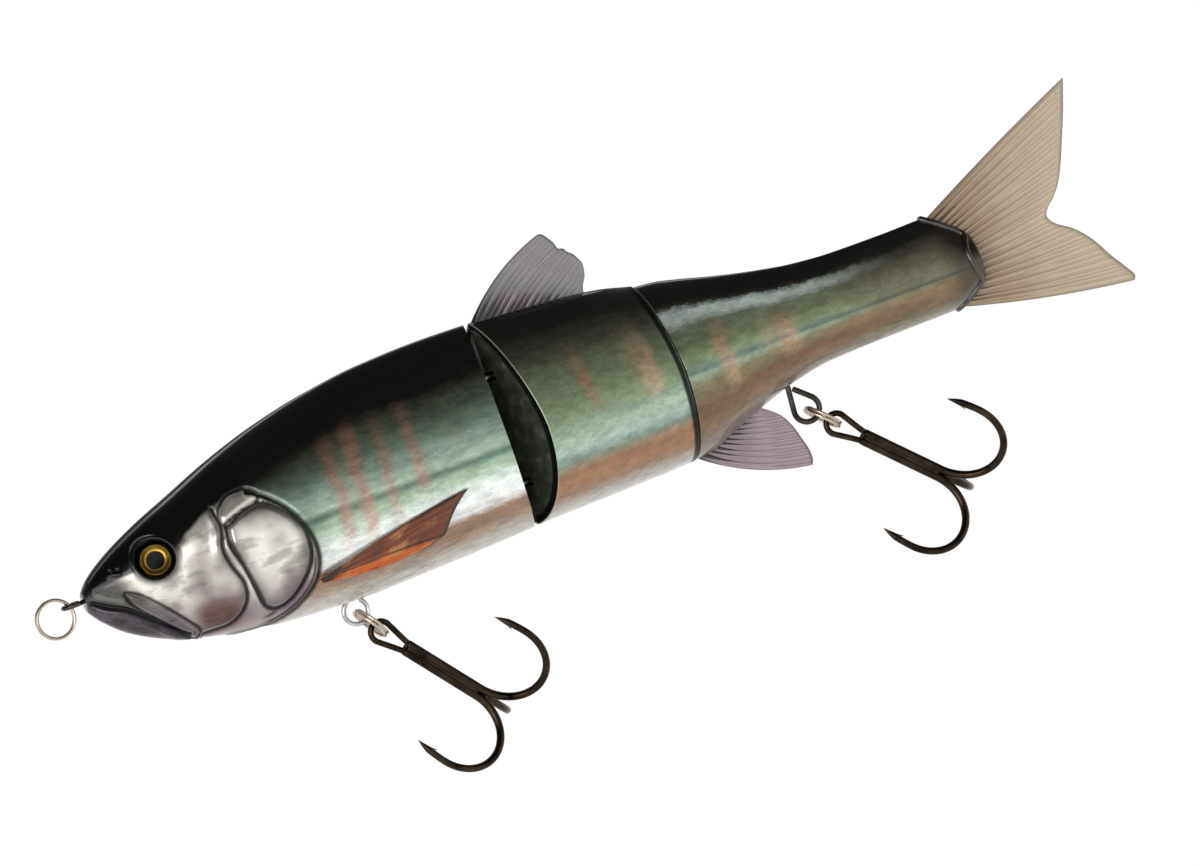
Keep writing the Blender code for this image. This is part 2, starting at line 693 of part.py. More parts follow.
def pectoral_fins(shell, frames, look):
    """Side fins that lie back along the head's lower flank, each on a peg."""
    peg_at, peg_height = PECTORAL_PEG_AT
    for name, side in SIDES.items():
        bm = bmesh.new()
        loops = []
        for along, high, low in np.array(PECTORAL_SHAPE) * MM:
            near = half_width_at(along, high) + CLEARANCE
            far = near + PECTORAL_THICKNESS
            spread = 0.12 * (high - low)
            corners = [(near, high), (far, high), (far + spread, low), (near + spread, low)]
            loops.append([bm.verts.new((along, side * y, z)) for y, z in corners])
        for a, b in zip(loops, loops[1:]):
            for i in range(4):
                bm.faces.new((a[i], a[(i + 1) % 4], b[(i + 1) % 4], b[i]))
        bm.faces.new(loops[0])
        bm.faces.new(loops[-1])
        fin = mesh_object(f"{name}_pectoral_fin", bm)
        on_body(fin, "head", frames, look)
        skin = half_width_at(peg_at, peg_height)
        inside = side * (skin - PECTORAL_PEG_LENGTH)
        outside = side * (skin + CLEARANCE + 0.5 * PECTORAL_THICKNESS)
        start, end = (peg_at, inside, peg_height), (peg_at, outside, peg_height)
        peg = cylinder(f"{name}_peg", PECTORAL_PEG, start, end, 12)
        boolean(fin, helper(on_body(peg, "head", frames)), "UNION")
        hole = cylinder(
            f"{name}_peg_hole",
            PECTORAL_PEG + CLEARANCE,
            (peg_at, inside - side * CLEARANCE, peg_height),
            (peg_at, outside + side * MM, peg_height),
            12,
        )
        boolean(shell[name], helper(on_body(hole, "head", frames)))


def tail_slot():
    """The flared slot in the end of the tail shells, which lets the fin's tongue swing on its pin."""
    pin = TAIL_FRONT + TAIL_PIN_AT
    half = boss_radius() + CLEARANCE
    front = pin - tongue_ahead() - CLEARANCE
    out = TAIL_END + 2 * MM
    flare = TAIL_FIN_THICKNESS / 2 + CLEARANCE + tan(TAIL_FIN_SWING) * (out - pin)
    around = [(front, half), (pin, half), (out, flare), (out, -flare), (pin, -half), (front, -half)]
    bm = bmesh.new()
    low, high = tongue_heights()
    face = bm.faces.new([bm.verts.new((x, y, low - CLEARANCE)) for x, y in around])
    made = bmesh.ops.extrude_face_region(bm, geom=[face])
    grown = [v for v in made["geom"] if isinstance(v, bmesh.types.BMVert)]
    bmesh.ops.translate(bm, vec=(0, 0, high - low + 2 * CLEARANCE), verts=grown)
    return mesh_object("tail_slot", bm)


def tongue_ahead():
    """How far the tail fin's tongue reaches ahead of its pin."""
    return TAIL_PIN_RADIUS + 2 * MM


def boss_radius():
    """The rounded swelling of the tongue round the tail pin."""
    return TAIL_PIN_RADIUS + CLEARANCE + 0.6 * MM


def tongue_heights():
    """The lowest and highest point of the tail fin's tongue."""
    at = TAIL_FRONT + 0.9 * TAIL_LENGTH
    return 0.4 * keel(at), 0.42 * ridge(at)


def tail_fin(frames, look):
    """The forked tail fin, whose tongue turns on the tail pin."""
    pin = TAIL_FRONT + TAIL_PIN_AT
    low, high = tongue_heights()
    rise = 2 * CLEARANCE
    back = TAIL_END + rise
    corner = TAIL_END - 0.115 * TAIL_LENGTH
    tip = TAIL_FRONT + 85.3 * MM
    outline = [
        (pin - tongue_ahead(), low),
        (back, low),
        (back, keel(TAIL_END) - rise),
        (corner, keel(corner) - rise),
        (TAIL_FRONT + 61.2 * MM, -7.6 * MM),
        (TAIL_FRONT + 70.5 * MM, -9.9 * MM),
        (TAIL_FRONT + 78.1 * MM, -12.2 * MM),
        (tip - 1.5 * MM, -12.5 * MM),
        (tip, -11.8 * MM),
        (TAIL_FRONT + 82.5 * MM, -6.6 * MM),
        (TAIL_FRONT + 80.3 * MM, -2.8 * MM),
        (TAIL_FRONT + 77.2 * MM, 0.3 * MM),
        (TAIL_FRONT + 74.2 * MM, 3.6 * MM),
        (TAIL_FRONT + 76.0 * MM, 6.3 * MM),
        (TAIL_FRONT + 79.3 * MM, 11.1 * MM),
        (TAIL_FRONT + 83.0 * MM, 19.8 * MM),
        (tip - 0.3 * MM, 25.4 * MM),
        (TAIL_FRONT + 82.6 * MM, 25.2 * MM),
        (TAIL_FRONT + 76.9 * MM, 22.6 * MM),
        (TAIL_FRONT + 69.6 * MM, 18.7 * MM),
        (TAIL_FRONT + 61.2 * MM, 14.6 * MM),
        (corner, ridge(corner) + rise),
        (back, ridge(TAIL_END) + rise),
        (back, high),
        (pin - tongue_ahead(), high),
    ]
    moved = [(x - pin, z) for x, z in outline]
    fin = plate("tail_fin", moved, TAIL_FIN_THICKNESS)
    swing = empty("tail_fin_frame", frames["tail"], (pin - REAR_HINGE, 0, 0))
    finish(fin, look, swing)
    through = (0, 0, low - MM), (0, 0, high + MM)
    bore = cylinder("tail_fin_bore", TAIL_PIN_RADIUS + CLEARANCE, *through, 12)
    widen = cylinder("tail_fin_boss", boss_radius(), (0, 0, low), (0, 0, high), 12)
    boolean(fin, helper(finish(widen, None, swing)), "UNION")
    boolean(fin, helper(finish(bore, None, swing)))


def treble_hook(name, frame, look):
    """A treble hook along the frame's +X from its eye, which lies in the XZ plane round (0, 0)."""
    neck = HOOK_EYE_LENGTH
    half = HOOK_SHANK_RADIUS - HOOK_EYE_WIRE
    path = eye_path(HOOK_EYE_LOOP, (neck + HOOK_EYE_WIRE, half), 0, both=True)
    eye = as_mesh(wire(f"{name}_eye", [(a, 0, b) for a, b in path], HOOK_EYE_WIRE))
    bend = HOOK_GAP / 2
    turn = HOOK_EYE_TO_BEND - bend - HOOK_WIRE
    hook = cylinder(name, HOOK_SHANK_RADIUS, (neck, 0, 0), (turn + HOOK_WIRE, 0, 0), 12)
    pieces = [eye]
    for n in range(3):
        angle = HOOK_ROLL + pi / 2 + n * 2 * pi / 3
        out = Vector((0, sin(angle), cos(angle)))
        arc = [
            Vector((turn + bend * sin(a), 0, 0)) + out * bend * (1 - cos(a))
            for a in np.linspace(0, pi, 12)
        ]
        spear = [
            arc[-1] + Vector((-t * HOOK_SPEAR, 0, 0)) + out * (-HOOK_TIP_LEAN * t * t)
            for t in np.linspace(0.25, 1, 4)
        ]
        start = Vector((turn - 2 * MM, 0, 0))
        arm = wire(f"{name}_arm_{n}", [start, *arc, *spear], HOOK_WIRE, taper=2)
        pieces.append(as_mesh(arm))
    finish(hook, look, frame)
    for piece in pieces:
        boolean(hook, helper(finish(piece, None, frame)), "UNION")


def split_ring(name, frame, centre, look):
    """A two-turn wire ring in the frame's YZ plane."""
    pitch = 2 * RING_WIRE + RING_TURN_GAP
    turns, steps = 2, 40
    points = []
    for t in np.linspace(0, 1, steps + 1):
        angle = 2 * pi * turns * t
        spot = (pitch * turns * (t - 0.5), RING_RADIUS * sin(angle), RING_RADIUS * cos(angle))
        points.append(Vector(centre) + Vector(spot))
    finish(wire(name, points, RING_WIRE, 1), look, frame)


def nose_ring(frames, look):
    """The split ring on the line tie, hanging a little below it; it swings about the tie's front wire."""
    pivot = Vector((-TIE_TO_NOSE - TIE_LOOP, 0, 0))
    inward = RING_RADIUS - TIE_WIRE - RING_WIRE - CLEARANCE
    frame = empty("nose_ring_frame", frames["head"], pivot, (0, 0, pi / 2))
    droop = radians(32)
    split_ring("nose_ring", frame, (0, inward * cos(droop), -inward * sin(droop)), look)


def hook_set(place, body, frames, loop_centre, loop, hang, shank, looks):
    """A split ring on a hanger's wire and a treble hook on that ring.

    hang and shank are angles below the body's axis, of the ring's line and the hook's shank. The
    ring swings sideways about the hanger's wire, and the hook swings fore and aft on the ring's.
    """
    down = Vector((cos(hang), 0, -sin(hang)))
    pivot = Vector(loop_centre) + loop * down
    # The ring's frame has Z up along the line that it hangs on, and X along the hanger's wire.
    ring_frame = empty(f"{place}_ring_frame", frames[body], pivot, (0, hang - pi / 2, 0))
    drop = RING_RADIUS - loop
    split_ring(f"{place}_ring", ring_frame, (0, 0, -drop), looks["silver_ring"])
    hook_at = (0, 0, -(drop + RING_RADIUS))
    # The hook's frame has X along its shank: the ring's lean undone, then tipped down.
    hook_turn = (0, pi / 2 - hang + shank, 0)
    hook_frame = empty(f"{place}_hook_frame", ring_frame, hook_at, hook_turn)
    # The eye may reach back along the ring until it is a clearance short of the hanger.
    eye_reach = HOOK_EYE_LOOP + HOOK_EYE_WIRE
    room = 2 * RING_RADIUS - loop - HANGER_WIRE - CLEARANCE - eye_reach
    slack = min(HOOK_EYE_SLACK, room)
    eye_frame = empty(f"{place}_eye_frame", hook_frame, (-slack, 0, 0))
    treble_hook(f"{place}_hook", eye_frame, looks["hook"])


def belly_hook_set(frames, looks):
    low = keel(BELLY_HANGER_AT) - BELLY_HANGER_DROP
    centre = (BELLY_HANGER_AT, 0, low)
    hook_set("front", "head", frames, centre, BELLY_HANGER_LOOP, radians(57), radians(51), looks)


def rear_hook_set(frames, looks):
    neck, _ = rear_hanger_neck()
    down = Vector((sin(REAR_HANGER_LEAN), 0, -cos(REAR_HANGER_LEAN)))
    centre = neck + REAR_HANGER_NECK * down - Vector((REAR_HINGE, 0, 0))
    hook_set("rear", "tail", frames, centre, REAR_HANGER_LOOP, radians(45), radians(45), looks)


def tail_fittings(frames, looks):
    """The leaning hanger of the rear hook, and the pin that holds the tail fin."""
    path = eye_path(REAR_HANGER_LOOP, (REAR_HANGER_NECK, 0), REAR_HANGER_SHANK)
    loop_end = Vector(path[-1])
    path.append(tuple(loop_end.lerp(Vector((REAR_HANGER_NECK, 0)), REAR_HANGER_CLOSED)))
    neck, _ = rear_hanger_neck()
    down = Vector((sin(REAR_HANGER_LEAN), 0, -cos(REAR_HANGER_LEAN)))
    centre = neck + REAR_HANGER_NECK * down
    hanger = wire("rear_hanger", [(b, 0, a) for a, b in path], HANGER_WIRE)
    place = (centre.x - REAR_HINGE, 0, centre.z)
    finish(hanger, looks["dark_wire"], frames["tail"], place, (0, -REAR_HANGER_LEAN, 0))
    at = TAIL_FRONT + TAIL_PIN_AT - REAR_HINGE
    low = keel(TAIL_FRONT + TAIL_PIN_AT) + CLEARANCE
    pin = cylinder("tail_pin", TAIL_PIN_RADIUS, (0, 0, low), (0, 0, tail_pin_top()), 12)
    finish(pin, looks["steel"], frames["tail"], (at, 0, 0))


def main():
    clear_scene()
    looks = {
        "head": material("head_paint", (0.18, 0.22, 0.17), 0.18),
        "mid": material("mid_paint", (0.2, 0.22, 0.13), 0.18),
        "tail": material("tail_paint", (0.22, 0.22, 0.12), 0.18),
        "foil": material("gold_foil", (0.75, 0.5, 0.12), 0.25, 1.0),
        "lens": material("clear_lens", (0.9, 0.9, 0.9), 0.05, alpha=0.35),
        "fin": material("smoky_fin", (0.45, 0.33, 0.36), 0.3),
        "amber_fin": material("amber_fin", (0.5, 0.22, 0.05), 0.3),
        "tail_fin": material("tan_fin", (0.62, 0.47, 0.33), 0.4),
        "dark_wire": material("black_nickel_wire", (0.05, 0.05, 0.05), 0.3, 1.0),
        "silver_wire": material("silver_wire", (0.7, 0.7, 0.7), 0.25, 1.0),
        "silver_ring": material("ring_steel", (0.72, 0.68, 0.62), 0.25, 1.0),
        "steel": material("stainless_steel", (0.6, 0.6, 0.6), 0.3, 1.0),
        "hook": material("hook_bronze", (0.1, 0.085, 0.07), 0.3, 1.0),
        "lead": material("lead", (0.22, 0.22, 0.24), 0.6, 1.0),
    }
    frames = body_frames()
    head = shells("head", HEAD_SHAPE, frames, looks)
    shells("mid", MID_SHAPE, frames, looks)
    shells("tail", TAIL_SHAPE, frames, looks)
    for body in ("head", "mid", "tail"):
        ballast(body, frames, looks["lead"])
    eyes(head, frames, looks)
    pectoral_fins(head, frames, looks["amber_fin"])
    head_fittings(frames, looks)
    nose_ring(frames, looks["silver_ring"])
    belly_hook_set(frames, looks)
    for body in ("head", "mid"):
        joint_eyes(body, frames, looks["steel"])
    for body in ("mid", "tail"):
        joint_pin(body, frames, looks["steel"])
    on_body(dorsal_fin("dorsal_fin"), "mid", frames, looks["fin"])
    on_body(pelvic_fin("pelvic_fin"), "tail", frames, looks["fin"])
    tail_fittings(frames, looks)
    rear_hook_set(frames, looks)
    tail_fin(frames, looks["tail_fin"])


main()
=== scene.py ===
import json
from math import acos, atan2, cos, pi, radians, sin, tan

import bpy
import numpy as np
from mathutils import Matrix, Vector


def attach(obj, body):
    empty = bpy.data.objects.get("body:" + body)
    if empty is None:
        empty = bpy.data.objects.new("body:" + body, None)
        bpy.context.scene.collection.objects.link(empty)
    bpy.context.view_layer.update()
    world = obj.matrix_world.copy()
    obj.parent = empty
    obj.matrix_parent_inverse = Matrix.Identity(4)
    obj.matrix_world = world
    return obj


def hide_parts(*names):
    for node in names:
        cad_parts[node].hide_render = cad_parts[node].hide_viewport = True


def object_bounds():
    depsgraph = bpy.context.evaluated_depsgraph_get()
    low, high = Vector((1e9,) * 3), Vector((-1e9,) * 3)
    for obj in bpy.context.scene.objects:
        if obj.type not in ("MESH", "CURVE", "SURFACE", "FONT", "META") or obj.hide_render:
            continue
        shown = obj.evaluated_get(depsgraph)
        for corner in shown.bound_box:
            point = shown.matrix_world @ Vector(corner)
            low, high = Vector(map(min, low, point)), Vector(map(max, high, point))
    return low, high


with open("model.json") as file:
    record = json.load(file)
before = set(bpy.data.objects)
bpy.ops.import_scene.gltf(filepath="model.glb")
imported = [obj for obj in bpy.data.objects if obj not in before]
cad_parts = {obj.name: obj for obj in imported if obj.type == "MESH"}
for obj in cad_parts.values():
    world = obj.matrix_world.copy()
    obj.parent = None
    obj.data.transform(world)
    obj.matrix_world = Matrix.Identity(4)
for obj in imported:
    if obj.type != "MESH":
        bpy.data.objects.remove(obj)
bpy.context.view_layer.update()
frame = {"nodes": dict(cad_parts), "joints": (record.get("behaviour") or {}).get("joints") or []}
mm = 0.001
joints = {j["name"]: j for j in frame["joints"]}
print("frame loaded:", len(frame["nodes"]), "nodes")


# where the three body sections stand at rest
lure = dict(
    noseX=2.1,  # mm behind the line tie's eye
    headLength=80.3,
    midLength=33.8,
    tailLength=59.7,
    jointGap=0.5,
    hingeBehind=2.5,  # hinge axis behind a section's front
    back=22.2,
    belly=16.5,
    halfWidth=11.5,
    widestAt=1.0,
    faceLean=9.5,  # degrees that a joint face leans back
)
midFront = lure["headLength"] + lure["jointGap"]
midRear = midFront + lure["midLength"]
tailFront = midRear + lure["jointGap"]
tailEnd = tailFront + lure["tailLength"]
hingeAt = dict(head=0.0, mid=midFront + lure["hingeBehind"], tail=tailFront + lure["hingeBehind"])


def heading(a, b):
    # the turn about Z of a line from one joint to the next
    p, q = joints[a]["pos_m"], joints[b]["pos_m"]
    return atan2(q[1] - p[1], q[0] - p[0])


sectionTurn = dict(
    head=0.0,
    mid=heading("front_body_joint", "rear_body_joint"),
    tail=heading("rear_body_joint", "tail_fin_swing"),
)
sectionPivot = dict(
    head=np.array([lure["noseX"], 0.0, 0.0]),
    mid=np.array(joints["front_body_joint"]["pos_m"]) / mm,
    tail=np.array(joints["rear_body_joint"]["pos_m"]) / mm,
)


def placed(points, body):
    # straight-body millimetres to world metres: slide to the hinge, turn about it, move to its place
    p = np.asarray(points, float) - [hingeAt[body], 0, 0]
    c, s = cos(sectionTurn[body]), sin(sectionTurn[body])
    turned = np.stack([c * p[..., 0] - s * p[..., 1], s * p[..., 0] + c * p[..., 1], p[..., 2]], -1)
    return (turned + sectionPivot[body]) * mm


# the body's shape, the same curves as the solid model
# share of a section's length, top, bottom and half width
headShape = np.array([
    (0.00, 0.07, 0.13, 0.15), (0.02, 0.15, 0.26, 0.25), (0.07, 0.27, 0.48, 0.40),
    (0.15, 0.41, 0.685, 0.575), (0.25, 0.55, 0.83, 0.74), (0.36, 0.70, 0.93, 0.87),
    (0.48, 0.83, 0.975, 0.955), (0.60, 0.92, 1.00, 0.99), (0.75, 0.985, 0.98, 1.00),
    (0.88, 1.00, 0.96, 1.00), (1.00, 0.99, 0.93, 0.99),
])
midShape = np.array([
    (0.00, 0.99, 0.92, 0.985), (0.50, 0.925, 0.92, 0.95),
    (0.80, 0.86, 0.92, 0.925), (1.00, 0.785, 0.91, 0.905),
])
tailShape = np.array([
    (0.00, 0.77, 0.91, 0.90), (0.06, 0.755, 0.885, 0.86), (0.12, 0.72, 0.80, 0.80),
    (0.24, 0.635, 0.635, 0.66), (0.36, 0.563, 0.50, 0.53), (0.48, 0.51, 0.42, 0.44),
    (0.60, 0.487, 0.40, 0.385), (0.75, 0.484, 0.388, 0.355), (0.875, 0.49, 0.38, 0.34),
    (1.00, 0.25, 0.19, 0.32),
])


def smoothCurve(rows, share):
    # a cubic through the rows whose slope at a row is the harmonic mean of its two neighbours' slopes
    x, v = rows[:, 0], rows[:, 1:]
    slopes = np.diff(v, axis=0) / np.diff(x)[:, None]
    same = slopes[:-1] * slopes[1:] > 0
    mean = 2 * slopes[:-1] * slopes[1:] / np.where(same, slopes[:-1] + slopes[1:], 1)
    tangents = np.vstack([slopes[0], np.where(same, mean, 0), slopes[-1]])
    share = np.clip(share, 0, 1)
    i = np.clip(np.searchsorted(x, share) - 1, 0, len(x) - 2)
    step = (x[i + 1] - x[i])[..., None]
    t = (share[..., None] - x[i][..., None]) / step
    return (
        (1 + 2 * t) * (1 - t) ** 2 * v[i] + t * (1 - t) ** 2 * step * tangents[i]
        + t * t * (3 - 2 * t) * v[i + 1] + t * t * (t - 1) * step * tangents[i + 1]
    )


def sectionAt(along):
    # top, bottom, half width and roundness of the back at distances behind the nose
    along = np.asarray(along, float)
    shape = smoothCurve(headShape, along / lure["headLength"])
    middle = smoothCurve(midShape, (along - midFront) / lure["midLength"])
    last = smoothCurve(tailShape, (along - tailFront) / lure["tailLength"])
    shape = np.where((along >= midFront - 0.3)[..., None], middle, shape)
    shape = np.where((along >= tailFront - 0.3)[..., None], last, shape)
    return (
        shape[..., 0] * lure["back"], -shape[..., 1] * lure["belly"],
        shape[..., 2] * lure["halfWidth"], np.minimum(along / (0.7 * lure["headLength"]), 1),
    )


def flankAt(along, angle, inset=0.0):
    # y and z of the flank; angle runs from 0 at the ridge to pi at the keel, and past pi up the far side
    top, bottom, width, sharp = sectionAt(along)
    top, bottom, width = top - inset, bottom + inset, width - inset
    middle = np.minimum(lure["widestAt"], 0.5 * (top + bottom) + 0.2 * (top - bottom))
    up, out = np.cos(angle), np.abs(np.sin(angle))
    upper = up >= 0
    y = np.where(upper, out ** (1 + 0.48 * sharp), out ** 1.12) * width * np.sign(np.sin(angle) + 1e-12)
    high = middle + (top - middle) * np.abs(up) ** (1 + 0.29 * sharp)
    low = middle - (middle - bottom) * np.abs(up) ** 0.95
    return y, np.where(upper, high, low)


def halfWidthAt(along, height):
    # the half width at a height, read from the flank's curve at each place
    along, height = np.broadcast_arrays(np.asarray(along, float), np.asarray(height, float))
    angle = np.linspace(0, pi, 160)
    y, z = flankAt(along[..., None] + 0 * angle, angle + 0 * along[..., None])
    rows = zip(height.ravel(), z.reshape(-1, len(angle)), y.reshape(-1, len(angle)))
    flat = [np.interp(at, heights[::-1], widths[::-1]) for at, heights, widths in rows]
    return np.array(flat).reshape(along.shape)


# making meshes
def gridFaces(rows, columns, wrapRows=False, wrapColumns=False):
    # quads between neighbouring grid points, joined round where a direction wraps
    r = np.arange(rows if wrapRows else rows - 1)
    c = np.arange(columns if wrapColumns else columns - 1)
    r, c = [q.ravel() for q in np.meshgrid(r, c, indexing="ij")]
    r2, c2 = (r + 1) % rows, (c + 1) % columns
    return np.stack([r * columns + c, r * columns + c2, r2 * columns + c2, r2 * columns + c], -1)


def endFaces(rows, columns):
    # the two faces that close the first and the last ring of a grid
    count = rows * columns
    return [range(columns - 1, -1, -1), range(count - columns, count)]


def makePiece(name, points, faces, body, uv=None, masks=None, smooth=True, extra=()):
    # a mesh from world-metre points and quads; extra holds further faces of any length
    mesh = bpy.data.meshes.new(name)
    allFaces = [tuple(f) for f in faces.tolist()] + [tuple(int(i) for i in f) for f in extra]
    mesh.from_pydata(points.reshape(-1, 3).tolist(), [], allFaces)
    if uv is not None:
        layer = mesh.uv_layers.new(name="UVMap")
        corner = np.zeros(len(mesh.loops), np.int32)
        mesh.loops.foreach_get("vertex_index", corner)
        layer.data.foreach_set("uv", uv.reshape(-1, 2)[corner].astype(np.float32).ravel())
    for label, values in (masks or {}).items():
        attribute = mesh.attributes.new(label, "FLOAT", "POINT")
        attribute.data.foreach_set("value", values.astype(np.float32).ravel())
    mesh.update()
    if signedVolume(mesh) < 0:
        mesh.flip_normals()
    if smooth:
        mesh.shade_smooth()
    piece = bpy.data.objects.new(name, mesh)
    bpy.context.scene.collection.objects.link(piece)
    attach(piece, body)
    return piece


def signedVolume(mesh):
    # six times the volume inside, negative when the faces point inwards
    mesh.calc_loop_triangles()
    corners = np.zeros(len(mesh.loop_triangles) * 3, np.int32)
    mesh.loop_triangles.foreach_get("vertices", corners)
    points = np.zeros(len(mesh.vertices) * 3)
    mesh.vertices.foreach_get("co", points)
    t = points.reshape(-1, 3)[corners.reshape(-1, 3)]
    return float(np.einsum("ij,ij->i", t[:, 0], np.cross(t[:, 1], t[:, 2])).sum())


def carried(path, radii, sides):
    # rings of points round a path, each in the plane across it, with the frame carried without spin
    path = np.asarray(path, float)
    radii = np.broadcast_to(radii, len(path))
    tangent = np.gradient(path, axis=0)
    tangent /= np.linalg.norm(tangent, axis=1)[:, None]
    side = np.cross(tangent[0], [0.31, 0.67, 0.21])
    side /= np.linalg.norm(side)
    frames = []
    for t in tangent:
        side = side - t * side.dot(t)
        side = side / np.linalg.norm(side)
        frames.append((side, np.cross(t, side)))
    a, b = np.array([f[0] for f in frames]), np.array([f[1] for f in frames])
    angle = np.linspace(0, 2 * pi, sides, endpoint=False)
    ring = a[:, None] * np.cos(angle)[None, :, None] + b[:, None] * np.sin(angle)[None, :, None]
    return path[:, None] + ring * radii[:, None, None]


def tube(path, radii, sides):
    # points and faces of a closed wire along a path; its ends are rounded by three shrinking rings
    path = np.asarray(path, float)
    radii = np.broadcast_to(np.asarray(radii, float), len(path)).copy()
    first = (path[0] - path[1]) / np.linalg.norm(path[0] - path[1])
    last = (path[-1] - path[-2]) / np.linalg.norm(path[-1] - path[-2])
    turn = np.radians([80, 50, 22])
    cap = lambda p, d, r: (p + d * r * np.sin(turn)[:, None] * 0.6, r * np.cos(turn))
    startPath, startRadii = cap(path[0], first, radii[0])
    endPath, endRadii = cap(path[-1], last, radii[-1])
    path = np.vstack([startPath, path, endPath[::-1]])
    radii = np.concatenate([startRadii, radii, endRadii[::-1]])
    rings = carried(path, radii, sides)
    faces = gridFaces(len(path), sides, wrapColumns=True)
    return rings.reshape(-1, 3), faces, endFaces(len(path), sides)


def joined(parts):
    # several closed shapes as one: points, quads and end faces with their numbers moved on
    points, faces, ends, start = [], [], [], 0
    for p, f, e in parts:
        points.append(p)
        faces.append(f + start)
        ends += [[i + start for i in end] for end in e]
        start += len(p)
    return np.vstack(points), np.vstack(faces), ends


def smoothPath(points, steps):
    # an even-length curve through the points: Catmull-Rom, resampled by its length
    p = np.asarray(points, float)
    p = np.vstack([2 * p[0] - p[1], p, 2 * p[-1] - p[-2]])
    t = np.linspace(0, 1, 24, endpoint=False)[:, None]
    pieces = []
    for i in range(1, len(p) - 2):
        a, b, c, d = p[i - 1], p[i], p[i + 1], p[i + 2]
        bent, swung = 2 * a - 5 * b + 4 * c - d, 3 * b - a - 3 * c + d
        pieces.append(0.5 * (2 * b + (c - a) * t + bent * t**2 + swung * t**3))
    fine = np.vstack([*pieces, p[-2][None]])
    length = np.concatenate([[0], np.cumsum(np.linalg.norm(np.diff(fine, axis=0), axis=1))])
    even = np.linspace(0, length[-1], steps)
    return np.stack([np.interp(even, length, fine[:, k]) for k in range(fine.shape[1])], -1)


def ease(value, low, high):
    # a smooth step from 0 at low to 1 at high
    t = np.clip((np.asarray(value) - low) / (high - low), 0, 1)
    return t * t * (3 - 2 * t)


def awayFrom(x, z, line):
    # each point's distance from a line of points
    line = np.asarray(line, float)
    best = np.full(x.shape, np.inf)
    for a, b in zip(line, line[1:]):
        d = b - a
        t = np.clip(((x - a[0]) * d[0] + (z - a[1]) * d[1]) / max(d @ d, 1e-12), 0, 1)
        best = np.minimum(best, np.hypot(x - a[0] - t * d[0], z - a[1] - t * d[1]))
    return best


def within(x, z, outline):
    # whether each point is inside a closed outline, by counting crossings
    outline = np.asarray(outline, float)
    inside = np.zeros(x.shape, bool)
    for a, b in zip(outline, np.roll(outline, -1, axis=0)):
        crosses = (a[1] > z) != (b[1] > z)
        with np.errstate(divide="ignore", invalid="ignore"):
            at = a[0] + (z - a[1]) * (b[0] - a[0]) / (b[1] - a[1])
        inside ^= crosses & (x < at)
    return inside


def edgeDistance(x, z, outline):
    # distance from a closed outline, negative inside it
    far = awayFrom(x, z, np.vstack([outline, outline[:1]]))
    return np.where(within(x, z, outline), -far, far)


# shader maths
class Value:
    # wraps a socket, so that sums on it add Math nodes to its material
    def __init__(self, look, socket):
        self.look = look
        self.socket = socket

    def sums(self, operation, *others, clamp=False):
        return self.look.add("ShaderNodeMath", dict(operation=operation, use_clamp=clamp), *others)

    def __add__(self, other):
        return self.sums("ADD", self, other)

    __radd__ = __add__

    def __sub__(self, other):
        return self.sums("SUBTRACT", self, other)

    def __rsub__(self, other):
        return self.sums("SUBTRACT", other, self)

    def __mul__(self, other):
        return self.sums("MULTIPLY", self, other)

    __rmul__ = __mul__

    def most(self, other):
        return self.sums("MAXIMUM", self, other)

    def held(self):
        return self.sums("ADD", self, 0.0, clamp=True)


